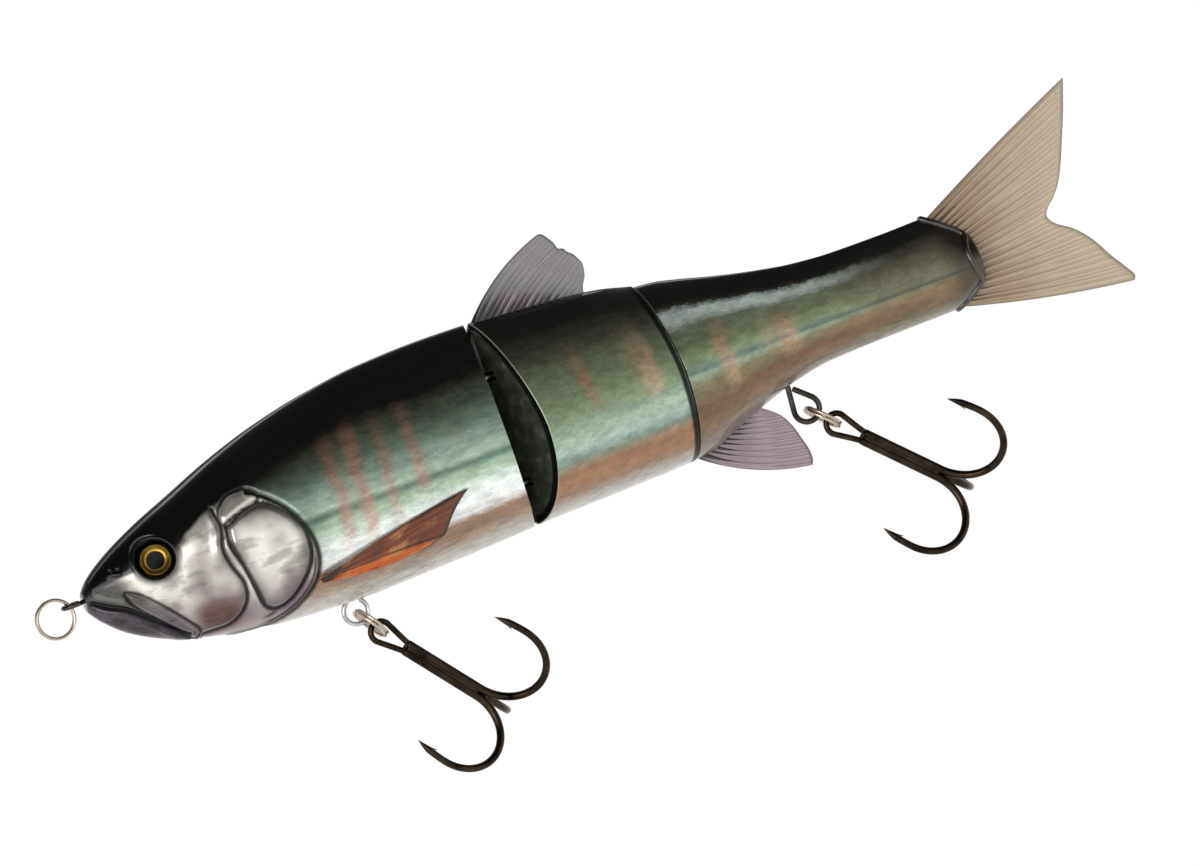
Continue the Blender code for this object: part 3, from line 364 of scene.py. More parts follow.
class Look:
    # one material: its tree, its surface shader, and the ways to add nodes to it
    def __init__(self, name, **constants):
        self.made = bpy.data.materials.new(name)
        self.made.use_nodes = True
        self.tree = self.made.node_tree
        self.surface = self.tree.nodes["Principled BSDF"]
        for key, value in constants.items():
            self.surface.inputs[key.replace("_", " ")].default_value = value

    def add(self, kind, settings=None, *values, out=0, **named):
        # any node: its settings first, then the values or links of its sockets, in order or by name
        node = self.tree.nodes.new(kind)
        for key, value in (settings or {}).items():
            if key == "stops":
                self.fillRamp(node.color_ramp, value)
            else:
                setattr(node, key, value)
        for i, value in enumerate(values):
            self.feed(node.inputs[i], value)
        for key, value in named.items():
            self.feed(node.inputs[key.replace("_", " ")], value)
        return Value(self, node.outputs[out])

    def feed(self, socket, value):
        if isinstance(value, Value):
            self.tree.links.new(value.socket, socket)
        elif value is not None:
            socket.default_value = value

    def fillRamp(self, ramp, stops):
        while len(ramp.elements) > 1:
            ramp.elements.remove(ramp.elements[-1])
        for i, (at, colour) in enumerate(stops):
            spot = ramp.elements[0] if i == 0 else ramp.elements.new(at)
            spot.position = at
            spot.color = paint(colour)

    def ramp(self, value, stops, interpolation="LINEAR"):
        made = self.add("ShaderNodeValToRGB", dict(stops=stops), value)
        made.socket.node.color_ramp.interpolation = interpolation
        return made

    def mix(self, share, a, b, way="MIX"):
        node = self.tree.nodes.new("ShaderNodeMix")
        node.data_type = "RGBA"
        node.blend_type = way
        for i, value in ((0, share), (6, a), (7, b)):
            plain = isinstance(value, (str, tuple))
            self.feed(node.inputs[i], paint(value) if plain else value)
        return Value(self, node.outputs[2])

    def step(self, value, low, high, a=0.0, b=1.0):
        # a smooth change from a to b as the value goes from low to high
        return self.add("ShaderNodeMapRange", dict(interpolation_type="SMOOTHSTEP"), value, low, high, a, b)

    def band(self, value, low, high, soft):
        # 1 between low and high, fading over soft at each side
        rising = self.step(value, low - soft, low + soft)
        return rising * self.step(value, high - soft, high + soft, 1.0, 0.0)

    def place(self):
        return self.add("ShaderNodeTexCoord", out=3)

    def uv(self):
        both = self.add("ShaderNodeSeparateXYZ", None, self.add("ShaderNodeTexCoord", out=2))
        return both, Value(self, both.socket.node.outputs[1])

    def along(self, angle):
        # object coordinates turned about Y, so that a stretched noise can run along a slanting fin
        return self.add("ShaderNodeMapping", None, self.place(), Rotation=(0.0, radians(angle), 0.0))

    def tint(self, value):
        # a grey whose level is the value
        return self.add("ShaderNodeCombineColor", None, value, value, value)

    def mask(self, name):
        return self.add("ShaderNodeAttribute", dict(attribute_name=name), out=2)

    def noise(self, scale, detail=3.0, roughness=0.55, stretch=(1, 1, 1), where=None):
        spot = self.add("ShaderNodeMapping", None, where or self.place(), Scale=stretch)
        return self.add(
            "ShaderNodeTexNoise", None, Vector=spot, Scale=scale, Detail=detail, Roughness=roughness)

    def bump(self, height, distance, strength=1.0):
        return self.add("ShaderNodeBump", None, Strength=strength, Distance=distance, Height=height)

    def set(self, **sockets):
        for key, value in sockets.items():
            self.feed(self.surface.inputs[key.replace("_", " ")], value)
        return self.made


def paint(colour):
    # a hex colour as it looks on screen, or a plain tuple, as linear light with an alpha
    if isinstance(colour, str):
        parts = [int(colour[i:i + 2], 16) / 255 for i in (0, 2, 4)]
        colour = [c / 12.92 if c <= 0.04045 else ((c + 0.055) / 1.055) ** 2.4 for c in parts]
    return (*colour[:3], 1.0)


def wear(piece, look):
    piece.data.materials.clear()
    piece.data.materials.append(look)


# relief of the head, in mm behind the nose and as a share of the height there
headRelief = dict(
    cheekEdge=[
        (25.1, 0.55), (25.3, 0.30), (24.3, 0.05), (24.8, -0.17), (26.1, -0.42), (25.6, -0.66),
        (22.6, -0.86), (17.6, -0.95),
    ],
    cheekRib=[(25.9, 0.10), (26.9, -0.20), (28.0, -0.50), (28.7, -0.69)],
    gillPlate=[
        (26.4, 0.30), (29.0, 0.34), (32.8, 0.35), (35.6, 0.22), (37.8, 0.03), (38.7, -0.14), (38.4, -0.36),
        (36.6, -0.55), (33.5, -0.73), (30.6, -0.79), (28.8, -0.71), (28.0, -0.50), (27.0, -0.20),
        (26.0, 0.06),
    ],
    gillRim=[
        (31.5, 0.50), (33.5, 0.42), (36.6, 0.22), (39.0, -0.04), (39.8, -0.30), (39.0, -0.55),
        (36.6, -0.74), (33.2, -0.88), (28.5, -0.97), (22.0, -1.02),
    ],
    templePlate=[
        (26.3, 0.50), (28.6, 0.57), (32.0, 0.53), (32.9, 0.42), (29.2, 0.37), (26.6, 0.30), (25.7, 0.40),
    ],
    mouth=[
        (0.6, -0.25), (3.0, -0.40), (5.6, -0.46), (8.0, -0.60), (10.6, -0.74), (13.6, -0.88),
        (15.2, -0.93),
    ],
    jawPlate=[
        (6.4, -0.14), (8.4, -0.24), (11.6, -0.50), (15.2, -0.78), (16.8, -0.90), (15.8, -0.96),
        (13.2, -0.84), (9.8, -0.60), (7.2, -0.34),
    ],
    nostril=[(5.0, 0.52), (6.4, 0.42)],
)
# in mm: the eye's middle, and each nostril hole's middle and width
eyeAt = (12.9, 3.0)
nostrilHoles = [(5.2, 3.5, 0.28), (6.4, 3.2, 0.3)]


def onHead(spots):
    # share of height to mm, from the top or bottom of the head at that place
    spots = np.array(spots, float)
    top, bottom, _, _ = sectionAt(spots[:, 0])
    spots[:, 1] = np.where(spots[:, 1] > 0, spots[:, 1] * top, -spots[:, 1] * bottom)
    return smoothPath(spots, 60)


def ridge(far, at, wide):
    # a rounded ridge of height 1 at a distance from a line, wide to where it has fallen to a third
    return np.exp(-(((far - at) / wide) ** 2))


def headHeights(x, z):
    # mm that the skin stands out or in, and masks for its paint: the sum of plates, ribs and grooves
    lines = {k: onHead(v) for k, v in headRelief.items()}
    closedLine = lambda k: onHead(headRelief[k] + headRelief[k][:1])
    rise = np.zeros(x.shape)
    cheek = awayFrom(x, z, lines["cheekEdge"])
    ahead = lambda k: x < np.interp(-z, -lines[k][:, 1], lines[k][:, 0])
    upto = ease(z, 13.0, 9.5)
    groove = ridge(cheek, 0, 0.42) * upto
    rise -= 0.34 * groove
    rise += 0.22 * ridge(cheek, 0.9, 0.7) * ahead("cheekEdge") * upto
    rib = awayFrom(x, z, lines["cheekRib"])
    rise += 0.16 * ridge(rib, 1.0, 0.35) * ahead("cheekRib")
    plate = edgeDistance(x, z, closedLine("gillPlate"))
    rise += 0.38 * ease(plate, 0.15, -0.75) - 0.34 * ridge(plate, 0.3, 0.36)
    temple = edgeDistance(x, z, closedLine("templePlate"))
    rise += 0.22 * ease(temple, 0.1, -0.8) - 0.28 * ridge(temple, 0.25, 0.34)
    rim = awayFrom(x, z, lines["gillRim"])
    outline = np.vstack([lines["gillRim"], [(0, -30), (0, 40), (28, 40)]])
    outside = ~within(x, z, outline)
    rimSide = np.where(outside, rim, -rim)
    lipped = 0.14 * ease(rimSide, -0.7, -0.05) - 0.42 * ease(rimSide, -0.12, 0.0)
    rise += np.where(outside, -0.42 * ridge(rim, 0, 0.75), lipped)
    ribs = ridge(rimSide, -1.15, 0.26) + 0.8 * ridge(rimSide, -2.1, 0.26)
    between = ease(plate, 0.5, 0.9) * ease(z, 2.5, -1.0) * ease(x, 27.0, 29.5)
    rise += 0.18 * ribs * between
    mouth = awayFrom(x, z, lines["mouth"])
    rise -= 0.62 * ridge(mouth, 0, 0.42)
    lip = z - np.interp(x, lines["mouth"][:, 0], lines["mouth"][:, 1])
    rise += 0.24 * ridge(mouth, 0.95, 0.5) * ease(x, 0.5, 2.0)
    jaw = edgeDistance(x, z, closedLine("jawPlate"))
    rise += 0.34 * ease(jaw, 0.15, -0.55) - 0.26 * ridge(jaw, 0.25, 0.24)
    eye = np.hypot(x - eyeAt[0], z - eyeAt[1])
    rise += 0.42 * ridge(eye, 3.75, 0.42) - 1.45 * ease(eye, 3.4, 3.0)
    nostril = awayFrom(x, z, lines["nostril"])
    rise += 0.22 * ridge(nostril, 0, 0.45)
    holes = sum(ridge(np.hypot(x - a, z - b), 0, wide) for a, b, wide in nostrilHoles)
    rise -= 0.4 * holes
    dark = np.maximum.reduce([
        ridge(cheek, 0, 0.44) * upto, ridge(plate, 0.32, 0.36), ridge(temple, 0.30, 0.30),
        ridge(rimSide, 0.15, 0.6) * ease(z, 14, 12), ridge(mouth, 0, 0.66), ridge(jaw, 0.35, 0.42) * 0.9,
        ease(eye, 4.0, 3.3), holes, 0.8 * ridge(rimSide, -0.65, 0.28) * between,
        0.8 * ridge(rimSide, -1.65, 0.28) * between, 0.7 * ridge(rib, 0, 0.4) * upto,
    ])
    # painted shade: plates darken softly towards their edges
    cheekShade = ease(cheek, 2.6, 0.0) * ahead("cheekEdge") * upto
    shade = np.maximum(ease(plate, -2.6, 0.2) * (plate < 0.6), cheekShade)
    return rise, dict(
        dark=np.clip(dark * 1.55 - 0.22, 0, 1), chrome=ease(rimSide, 0.1, -0.3), lip=lip, shade=shade,
        socket=ease(eye, 5.0, 3.6), maxilla=ease(jaw, 0.2, -0.4), temple=ease(temple, 0.15, -0.25))


# painted skins of the three sections
skins = dict(
    around=256,
    headFine=(46.0, 290),  # closely spaced rings up to here
    headRest=70,
    midRings=90,
    tailRings=150,
    wall=1.5,
    edge=0.22,  # rounding of a section's open edge
)


def skin(name, body, alongs, openFront, openRear, relief=None):
    # a thin shell: the outer flank from front to rear, over the rear edge, and back along the inside
    lean = tan(radians(lure["faceLean"]))
    angle = np.linspace(0, 2 * pi, skins["around"], endpoint=False) + pi / skins["around"]
    edge, wall = skins["edge"], skins["wall"]
    turn = np.radians([0, 30, 60, 90])
    # inset and shift of each ring round an open edge, from the outer face over to the inner wall
    outer = [(0.0, a) for a in alongs]
    rearRoll = [(edge * (1 - cos(t)), alongs[-1] - edge * (1 - sin(t))) for t in turn]
    frontRoll = [(edge * (1 - cos(t)), alongs[0] + edge * (1 - sin(t))) for t in turn[::-1]]
    inner = [(wall, a) for a in np.linspace(alongs[-1], alongs[0] + (0 if openFront else 2.5), 9)]
    rows = (frontRoll if openFront else []) + outer[1 if openFront else 0:-1 if openRear else None]
    rows = rows + (rearRoll if openRear else []) + inner
    inset = np.array([r[0] for r in rows])[:, None] + 0 * angle
    along = np.array([r[1] for r in rows])[:, None] + 0 * angle
    turned = angle[None, :] + 0 * inset
    y, z = flankAt(along, turned, inset)
    x = along.copy()
    # ends lean back away from the middle
    span = alongs[-1] - alongs[0]
    back = ease((along - alongs[0]) / span, 0.55, 1.0) if openRear else 0
    front = ease((along - alongs[0]) / span, 0.45, 0.0) if openFront else 0
    x = along + (front - back) * lean * np.abs(y)
    masks = {}
    if relief is not None:
        rise, masks = relief(along, z)
        fade = (inset == 0) * ease(along, 0.25, 1.0)
        y0, z0 = flankAt(along + 0.05, turned, inset)
        alongStep = np.stack([0.05 + 0 * y, y0 - y, z0 - z], -1)
        y1, z1 = flankAt(along, turned + 0.002, inset)
        aroundStep = np.stack([0 * y, y1 - y, z1 - z], -1)
        normal = np.cross(aroundStep, alongStep)
        normal /= np.linalg.norm(normal, axis=-1)[..., None] + 1e-12
        normal *= np.sign(normal[..., 1:2] * y[..., None] + normal[..., 2:3] * z[..., None] + 1e-9)
        moved = normal * (rise * fade)[..., None]
        x, y, z = x + moved[..., 0], y + moved[..., 1], z + moved[..., 2]
    top, bottom, _, _ = sectionAt(along)
    _, plainZ = flankAt(along, turned, 0)
    share = np.where(plainZ > 0, plainZ / top, -plainZ / bottom)
    masks["inside"] = (inset > 0.5 * edge) * 1.0
    masks["rim"] = (inset > 0) * (inset <= edge) * (along < 0.5 * (alongs[0] + alongs[-1]))
    points = placed(np.stack([x, y, z], -1), body)
    faces = gridFaces(len(rows), skins["around"], wrapRows=openFront, wrapColumns=True)
    ends = [] if openFront else endFaces(len(rows), skins["around"])
    return makePiece(name, points, faces, body, np.stack([along, share], -1), masks, extra=ends)


fineTo, fineCount = skins["headFine"]
headAlong = np.concatenate([
    fineTo * np.linspace(0, 1, fineCount) ** 1.15,
    np.linspace(fineTo, lure["headLength"], skins["headRest"])[1:],
])
headSkin = skin("head_skin", "head", headAlong, False, True, headHeights)
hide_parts("head_shell_left", "head_shell_right")
midSkin = skin("mid_skin", "mid", np.linspace(midFront, midRear, skins["midRings"]), True, True)
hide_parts("mid_shell_left", "mid_shell_right")
tailSkin = skin("tail_skin", "tail", np.linspace(tailFront, tailEnd, skins["tailRings"]), True, False)
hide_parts("tail_shell_left", "tail_shell_right")
print("skins:", [len(p.data.polygons) for p in (headSkin, midSkin, tailSkin)])


# paint of the skins
# share of the height from keel (0) to ridge (1), and the colour there
# the pale band at 0.235 to 0.38 of headBands is a silver stripe painted lighter: partly real paint, partly
# painted reflection of the bright floor
headBands = [
    (0.00, "a9a59e"), (0.06, "9b958c"), (0.11, "8a7866"), (0.15, "7d6049"), (0.20, "86674f"),
    (0.235, "c4c2bf"), (0.27, "dcdfdc"), (0.33, "dde3df"), (0.38, "c6d2c8"), (0.43, "9fb49b"),
    (0.465, "8aa38c"), (0.488, "587668"), (0.502, "55705f"), (0.525, "9cb09d"), (0.60, "8ba092"),
    (0.66, "6f8272"), (0.735, "4f574a"), (0.785, "2c2e25"), (0.825, "0c0c0b"), (1.00, "080808"),
]
midBands = [
    (0.00, "878580"), (0.06, "787269"), (0.11, "6e5137"), (0.16, "75502f"), (0.22, "745236"),
    (0.25, "70644e"), (0.275, "5e6658"), (0.31, "71827a"), (0.35, "83948a"), (0.41, "7e917d"),
    (0.45, "6d8070"), (0.50, "64735a"), (0.58, "5f6c4f"), (0.72, "5a624a"), (0.79, "44463a"),
    (0.85, "26261f"), (0.895, "10100d"), (1.00, "0a0a0a"),
]
# the pale band at 0.785 to 0.815 of tailBands, just under the black back, is a painted highlight
tailBands = [
    (0.00, "5c544c"), (0.08, "5d534a"), (0.16, "5f4b34"), (0.23, "5e4229"), (0.29, "553d22"),
    (0.35, "594f35"), (0.42, "646043"), (0.475, "71806c"), (0.503, "4f6057"), (0.520, "53645a"),
    (0.55, "6c7a5a"), (0.64, "626c4c"), (0.74, "6b7362"), (0.785, "b9c3bc"), (0.815, "a9b3ad"),
    (0.855, "20211c"), (0.875, "100f0d"), (1.00, "0b0b0b"),
]
tailRearBands = [
    (0.00, "6f6c63"), (0.08, "645f52"), (0.16, "534935"), (0.26, "5b4a31"), (0.35, "665037"),
    (0.42, "6b593d"), (0.475, "5d5c45"), (0.503, "3a3d2e"), (0.53, "555641"), (0.60, "5b5a44"),
    (0.70, "55523f"), (0.80, "3a3730"), (0.87, "131210"), (1.00, "0d0d0c"),
]
# each bar: where it crosses the middle, half its width, strength, lowest and highest share, colour
flankPaint = dict(
    head=dict(slant=1.6, gain=1.2, metalTop=0.56, bars=[
        (46.8, 1.2, 0.70, -0.34, 0.50, "a87663"), (51.0, 1.25, 0.78, -0.42, 0.52, "a87663"),
        (56.3, 1.0, 0.62, -0.30, 0.46, "a87663"), (62.4, 1.2, 0.66, -0.12, 0.48, "a87663"),
        (70.5, 0.9, 0.22, -0.05, 0.40, "8f7a63")]),
    mid=dict(slant=0.3, gain=1.75, metalTop=0.70, bars=[
        (midFront + 12.6, 1.2, 0.62, 0.10, 0.50, "93604a"),
        (midFront + 26.2, 2.2, 0.62, -0.05, 0.50, "a07f63"),
        (midFront + 22.6, 1.1, 0.25, 0.10, 0.45, "97745a")]),
    tail=dict(slant=0.2, gain=1.65, metalTop=0.66, bars=[
        (tailFront + 8.8, 1.5, 0.62, -0.35, 0.42, "98745a"),
        (tailFront + 21.6, 2.0, 0.62, -0.30, 0.36, "98745a"),
        (tailFront + 17.6, 1.0, 0.30, -0.10, 0.36, "98745a")]),
)


def skinPaint(body, name, bands, rearBands=None, rearFrom=None):
    look = Look(name, Coat_Weight=1.0, Coat_Roughness=0.05, Coat_IOR=1.5, IOR=1.45, Specular_IOR_Level=0.15)
    along, share = look.uv()
    cloud = look.noise(160, 4, 0.6, (0.6, 1, 1))
    fine = look.noise(1300, 3, 0.7, (0.55, 1, 1))
    wander = (cloud - 0.5) * 0.10 + (fine - 0.5) * 0.12
    height = (share + wander * (1 - look.band(share, -0.10, 0.10, 0.05) * 0.8)) * 0.5 + 0.5
    colour = look.ramp(height, bands)
    if rearBands:
        rear = look.ramp(height, rearBands)
        colour = look.mix(look.step(along, rearFrom[0], rearFrom[1]), colour, rear)
    kind = flankPaint[body]
    slanted = along + share * -kind["slant"] + (cloud - 0.5) * 3.0
    broken = 0.5 + look.step(fine, 0.25, 0.65) * 0.5
    for at, half, strength, low, high, hue in kind["bars"]:
        bar = look.band(slanted, at - half, at + half, 1.3) * look.band(share + wander, low, high, 0.20)
        colour = look.mix(bar * broken * strength, colour, hue)
    # fine dark speckle, and a scale-like mottle of light and dark
    speck = look.add("ShaderNodeTexVoronoi", dict(feature="F1"), look.place(), Scale=900)
    grain, gain = look.noise(700, 4, 0.75, (0.4, 1, 1)), kind["gain"]
    mottle = look.step(grain, 0.3, 0.7, 0.74 * gain, 1.2 * gain)
    colour = look.mix(1.0, colour, look.tint(mottle), "MULTIPLY")
    speckled = look.step(speck, 0.16, 0.05) * look.band(share, 0.1, 0.62, 0.1)
    colour = look.mix(speckled * 0.5, colour, "20261c")
    metal = look.band(share, -0.62, kind["metalTop"], 0.10) * 0.62
    rough = 0.34 - look.band(share, -0.55, 0.4, 0.1) * 0.06
    return look, along, share, colour, metal, rough, cloud, fine


def innerDark(look, colour):
    # the inside of a shell is plain near-black plastic
    return look.mix(look.mask("inside"), colour, "0c0c0a")


look, along, share, colour, metal, rough, cloud, fine = skinPaint("head", "pearl_head_lacquer_and_painted_light", headBands)
chrome = look.mask("chrome")
# silver foil over the face, with smoky and rosy clouds, and a rust patch low on the cheek
faceCloud = look.noise(78, 3, 0.5, (1, 1, 0.7))
silver = look.ramp(faceCloud, [
    (0.27, "2b2524"), (0.37, "766f6a"), (0.45, "bab4ab"), (0.54, "f0ece2"), (0.62, "d2ccc2"),
    (0.72, "857c78"), (0.80, "514a48")])
streaks = look.noise(420, 4, 0.6, (0.35, 1, 1))
silver = look.mix(look.step(streaks, 0.50, 0.34) * 0.42, silver, "3e3836")
low = look.step(share + (faceCloud - 0.5) * 0.9, -0.18, -0.72)
silver = look.mix(low * 0.72, silver, "75606a")
rust = look.band(along, 17.0, 24.5, 1.8) * look.band(share, -0.92, -0.55, 0.14)
silver = look.mix(rust * (0.60 + fine * 0.6), silver, "4f2618")
# painted shade: the face foil darkens towards plate edges and the cheek groove
silver = look.mix(look.mask("shade") * 0.62, silver, "2c2726")
# the black back comes down over the eye and rises towards the gill plates
backLine = look.step(along, 14.0, 25.0, 0.27, 0.50)
backEdge = look.step(share + (cloud - 0.5) * 0.22 - backLine, -0.06, 0.08)
ridgeEnd = look.step(along + share * -16.0 + (cloud - 0.5) * 3.0, 4.5, -1.0)
overLip = look.step(look.mask("lip"), -0.1, 0.4)
snout = ridgeEnd.most(look.step(along + (cloud - 0.5) * 5.0, 9.8, 5.2) * overLip * 0.94)
temple = look.mask("temple")
black = backEdge.most(snout * 0.95) * (1 - temple)
silver = look.mix(black, silver, "080807")
silver = look.mix(temple * 0.45, silver, "ebe6dc")
# the lower jaw and lips are smoky mauve
mauve = look.ramp(faceCloud + (fine - 0.5) * 0.3, [
    (0.3, "0d0a0c"), (0.5, "1c1419"), (0.62, "55485a"), (0.68, "1e171c")])
jawShade = look.step(look.mask("lip"), 0.9, -0.4) * look.step(along, 17.0, 13.0)
jaws = jawShade.most(look.mask("maxilla") * 0.85)
silver = look.mix(jaws * 0.92, silver, mauve)
colour = look.mix(chrome, colour, silver)
socket = look.mask("socket")
colour = look.mix(socket * 0.85, colour, "0b0a09")
# smoky shade on the flank just behind the gill cover
smoke = look.band(along, 33.0, 43.0, 2.5) * (1 - chrome) * look.band(share, -0.45, 0.75, 0.2)
colour = look.mix(smoke * (0.05 + cloud * 0.45), colour, "2a2c2a")
# the black of the back reaches lower just behind the gill plates
above = share + (cloud - 0.5) * 0.22 - look.step(along, 27.0, 58.0, 0.0, 0.20)
shoulder = look.step(above, 0.42, 0.62) * look.step(along, 66.0, 46.0)
colour = look.mix(shoulder * (1 - chrome) * 0.92, colour, "0a0a09")
dark = look.mask("dark")
colour = look.mix(dark * 0.93, colour, "060606")
colour = innerDark(look, colour)
metalAll = chrome * 0.80 * (1 - black) + metal * (1 - chrome)
metalAll = metalAll * (1 - dark) * (1 - look.mask("inside"))
quiet = dark.most(jaws * 0.62).most(snout * 0.62)
look.set(Base_Color=colour, Coat_Weight=1 - quiet * 0.9, Metallic=metalAll, Roughness=rough - chrome * 0.06)
wear(headSkin, look.made)

look, along, share, colour, metal, rough, cloud, fine = skinPaint("mid", "pearl_mid_lacquer_and_painted_light", midBands)
# painted shade: the last 1.5 mm before the rear joint is painted near-black, with little coat, for the shade
# in the gap between sections
gapShade = look.step(along, midRear - 1.5, midRear - 0.9)
colour = look.mix(gapShade * 0.95, colour, "040404")
# painted highlight: the rolled front edge is painted pale as if lit
colour = look.mix(look.mask("rim") * 0.55, colour, "9a9c8c")
plain = (1 - look.mask("inside")) * (1 - gapShade)
look.set(
    Base_Color=innerDark(look, colour), Coat_Weight=1 - gapShade * 0.9, Metallic=metal * plain, Roughness=rough)
wear(midSkin, look.made)

look, along, share, colour, metal, rough, cloud, fine = skinPaint(
    "tail", "pearl_tail_lacquer_and_painted_light", tailBands, tailRearBands, (tailFront + 22, tailFront + 46))
# painted shade: the rear end darkens for the shade of the groove where the soft tail nests
colour = look.mix(look.step(along, tailEnd - 9.0, tailEnd - 3.0) * 0.75, colour, "1d1710")
# painted highlight: the rolled front edge is painted pale as if lit
colour = look.mix(look.mask("rim") * 0.55, colour, "9a9c8c")
look.set(Base_Color=innerDark(look, colour), Metallic=metal * (1 - look.mask("inside")), Roughness=rough)
wear(tailSkin, look.made)
print("skins painted")


# bulkheads in the section ends
bulkheads = dict(inset=0.45, recess=0.14, thick=2.2, rings=14, around=128, slotHalf=(2.15, 0.8))
eyeHeights = dict(mid=(12.0, -7.5), tail=(8.5, -7.5))


def bulkhead(name, body, at, facing, slots=()):
    # a plate across a section's end: rings shrinking to the middle of each face, closed round its edge
    kind = bulkheads
    angle = np.linspace(0, 2 * pi, kind["around"], endpoint=False)
    size = np.concatenate([np.linspace(0.0, 1.0, kind["rings"]), np.linspace(1.0, 0.0, kind["rings"])])
    depth = np.concatenate([np.zeros(kind["rings"]), np.full(kind["rings"], kind["thick"])])
    edge = at - facing * kind["recess"] + 0 * angle
    y, z = flankAt(edge, angle, kind["inset"])
    middle = 0.5 * (z.max() + z.min())
    size, depth = np.maximum(size, 0.002)[:, None], depth[:, None]
    y, z = y * size, middle + (z - middle) * size
    x = edge - facing * depth - facing * tan(radians(lure["faceLean"])) * np.abs(y)
    points = placed(np.stack([x + 0 * y, y, z], -1), body)
    grid = 2 * kind["rings"], kind["around"]
    piece = makePiece(
        name, points, gridFaces(*grid, wrapColumns=True), body, extra=endFaces(*grid), smooth=False)
    for n, height in enumerate(slots):
        cutInto(piece, slotBox(f"{name}_cut_{n}", body, at, height))
    piece.data.shade_smooth()
    piece.data.set_sharp_from_angle(angle=radians(30))
    return piece


def slotBox(name, body, at, height):
    half, tall = bulkheads["slotHalf"]
    corner = np.array([(x, y, z) for x in (-4, 6) for y in (-half, half) for z in (-tall, tall)], float)
    points = placed(corner + [at, 0, height], body)
    mesh = bpy.data.meshes.new(name)
    sides = [(0, 1, 3, 2), (4, 6, 7, 5), (0, 4, 5, 1), (2, 3, 7, 6), (0, 2, 6, 4), (1, 5, 7, 3)]
    mesh.from_pydata(points.tolist(), [], sides)
    if signedVolume(mesh) < 0:
        mesh.flip_normals()
    cutter = bpy.data.objects.new(name, mesh)
    bpy.context.scene.collection.objects.link(cutter)
    return cutter


def cutInto(piece, cutter):
    # an exact difference, applied, and the cutter removed
    step = piece.modifiers.new("cut", "BOOLEAN")
    step.operation, step.solver, step.object = "DIFFERENCE", "EXACT", cutter
    applied(piece)
    bpy.data.objects.remove(cutter, do_unlink=True)


def applied(piece):
    # the piece's mesh as its modifiers leave it
    graph = bpy.context.evaluated_depsgraph_get()
    mesh = bpy.data.meshes.new_from_object(
        piece.evaluated_get(graph), preserve_all_data_layers=True, depsgraph=graph)
    old = piece.data
    piece.modifiers.clear()
    piece.data = mesh
    bpy.data.meshes.remove(old)


faceLook = Look("olive_black_bulkhead", Coat_Weight=0.5, Coat_Roughness=0.12)
grain = faceLook.noise(420, 4, 0.65)
faceLook.set(
    Base_Color=faceLook.ramp(grain, [(0.3, "242620"), (0.55, "3c4036"), (0.75, "5c604f")]),
    Roughness=faceLook.step(grain, 0.3, 0.7, 0.28, 0.42), Normal=faceLook.bump(grain, 0.00008))
bulkheadPieces = [
    bulkhead("head_rear_bulkhead", "head", lure["headLength"], 1),
    bulkhead("mid_front_bulkhead", "mid", midFront, -1, eyeHeights["mid"]),
    bulkhead("mid_rear_bulkhead", "mid", midRear, 1),
    bulkhead("tail_front_bulkhead", "tail", tailFront, -1, eyeHeights["tail"]),
]
for piece, slot in zip(bulkheadPieces, ("head_paint", "mid_paint", "mid_paint", "tail_paint")):
    wear(piece, faceLook.made)
print("bulkheads:", len(bulkheadPieces))


# eyes
eyes = dict(at=eyeAt[0], height=eyeAt[1], radius=2.9, dome=1.3, sunk=0.6, clearance=0.3, foil=0.5, sides=64)


def eyeTurn(side):
    # the skin's outward direction at the eye, and the point, in straight-body millimetres
    step, at, height = 0.5, eyes["at"], eyes["height"]
    here, back, above = [
        np.array([a, side * float(halfWidthAt(a, h)), h])
        for a, h in ((at, height), (at + step, height), (at, height + step))
    ]
    normal = np.cross(back - here, above - here) * -side
    return here, normal / np.linalg.norm(normal)


def turnedDisc(name, side, heights, rims):
    # a surface turned about the eye's own axis: rims are shares of its radius, heights stand along the axis
    here, normal = eyeTurn(side)
    across = np.cross(normal, [0, 0, 1])
    across /= np.linalg.norm(across)
    up = np.cross(across, normal)
    angle = np.linspace(0, 2 * pi, eyes["sides"], endpoint=False)
    rims, heights = np.asarray(rims)[:, None], np.asarray(heights)[:, None]
    rim = rims * eyes["radius"]
    points = (
        here + (rim * np.cos(angle))[..., None] * across + (rim * np.sin(angle))[..., None] * up
        + (heights + 0 * angle)[..., None] * normal
    )
    grid = len(rims), eyes["sides"]
    uv = np.stack([rims + 0 * angle, angle / (2 * pi) + 0 * rims], -1)
    return makePiece(
        name, placed(points, "head"), gridFaces(*grid, wrapColumns=True), "head", uv, extra=endFaces(*grid))


floorDepth = eyes["foil"] + eyes["sunk"] * eyes["dome"] + 2 * eyes["clearance"]
irisLook = Look("gold_foil_iris", Coat_Weight=0.0, Specular_IOR_Level=0.02)
radial, around = irisLook.uv()
flecks = irisLook.noise(1500, 3, 0.6)
gold = irisLook.ramp(radial + (flecks - 0.5) * 0.10, [
    (0.0, "010101"), (0.50, "010101"), (0.54, "2a1c04"), (0.58, "cfa945"), (0.64, "a07822"),
    (0.69, "57420f"), (0.78, "2f240a"), (0.86, "66500f"), (0.92, "1d1708"), (1.0, "050504")])
ringMetal = irisLook.band(radial, 0.55, 0.90, 0.02)
irisLook.set(Base_Color=gold, Metallic=ringMetal * 0.9, Roughness=0.28)
lensLook = Look(
    "clear_eye_dome", Base_Color=(1, 1, 1, 1), Roughness=0.0, Transmission_Weight=1.0, IOR=1.12,
    Coat_Weight=0.06, Coat_Roughness=0.01)
tinge = lensLook.noise(60, 1, 0.4)
lensLook.set(Base_Color=lensLook.ramp(tinge, [(0.3, "fbfaf6"), (0.7, "ffffff")]))
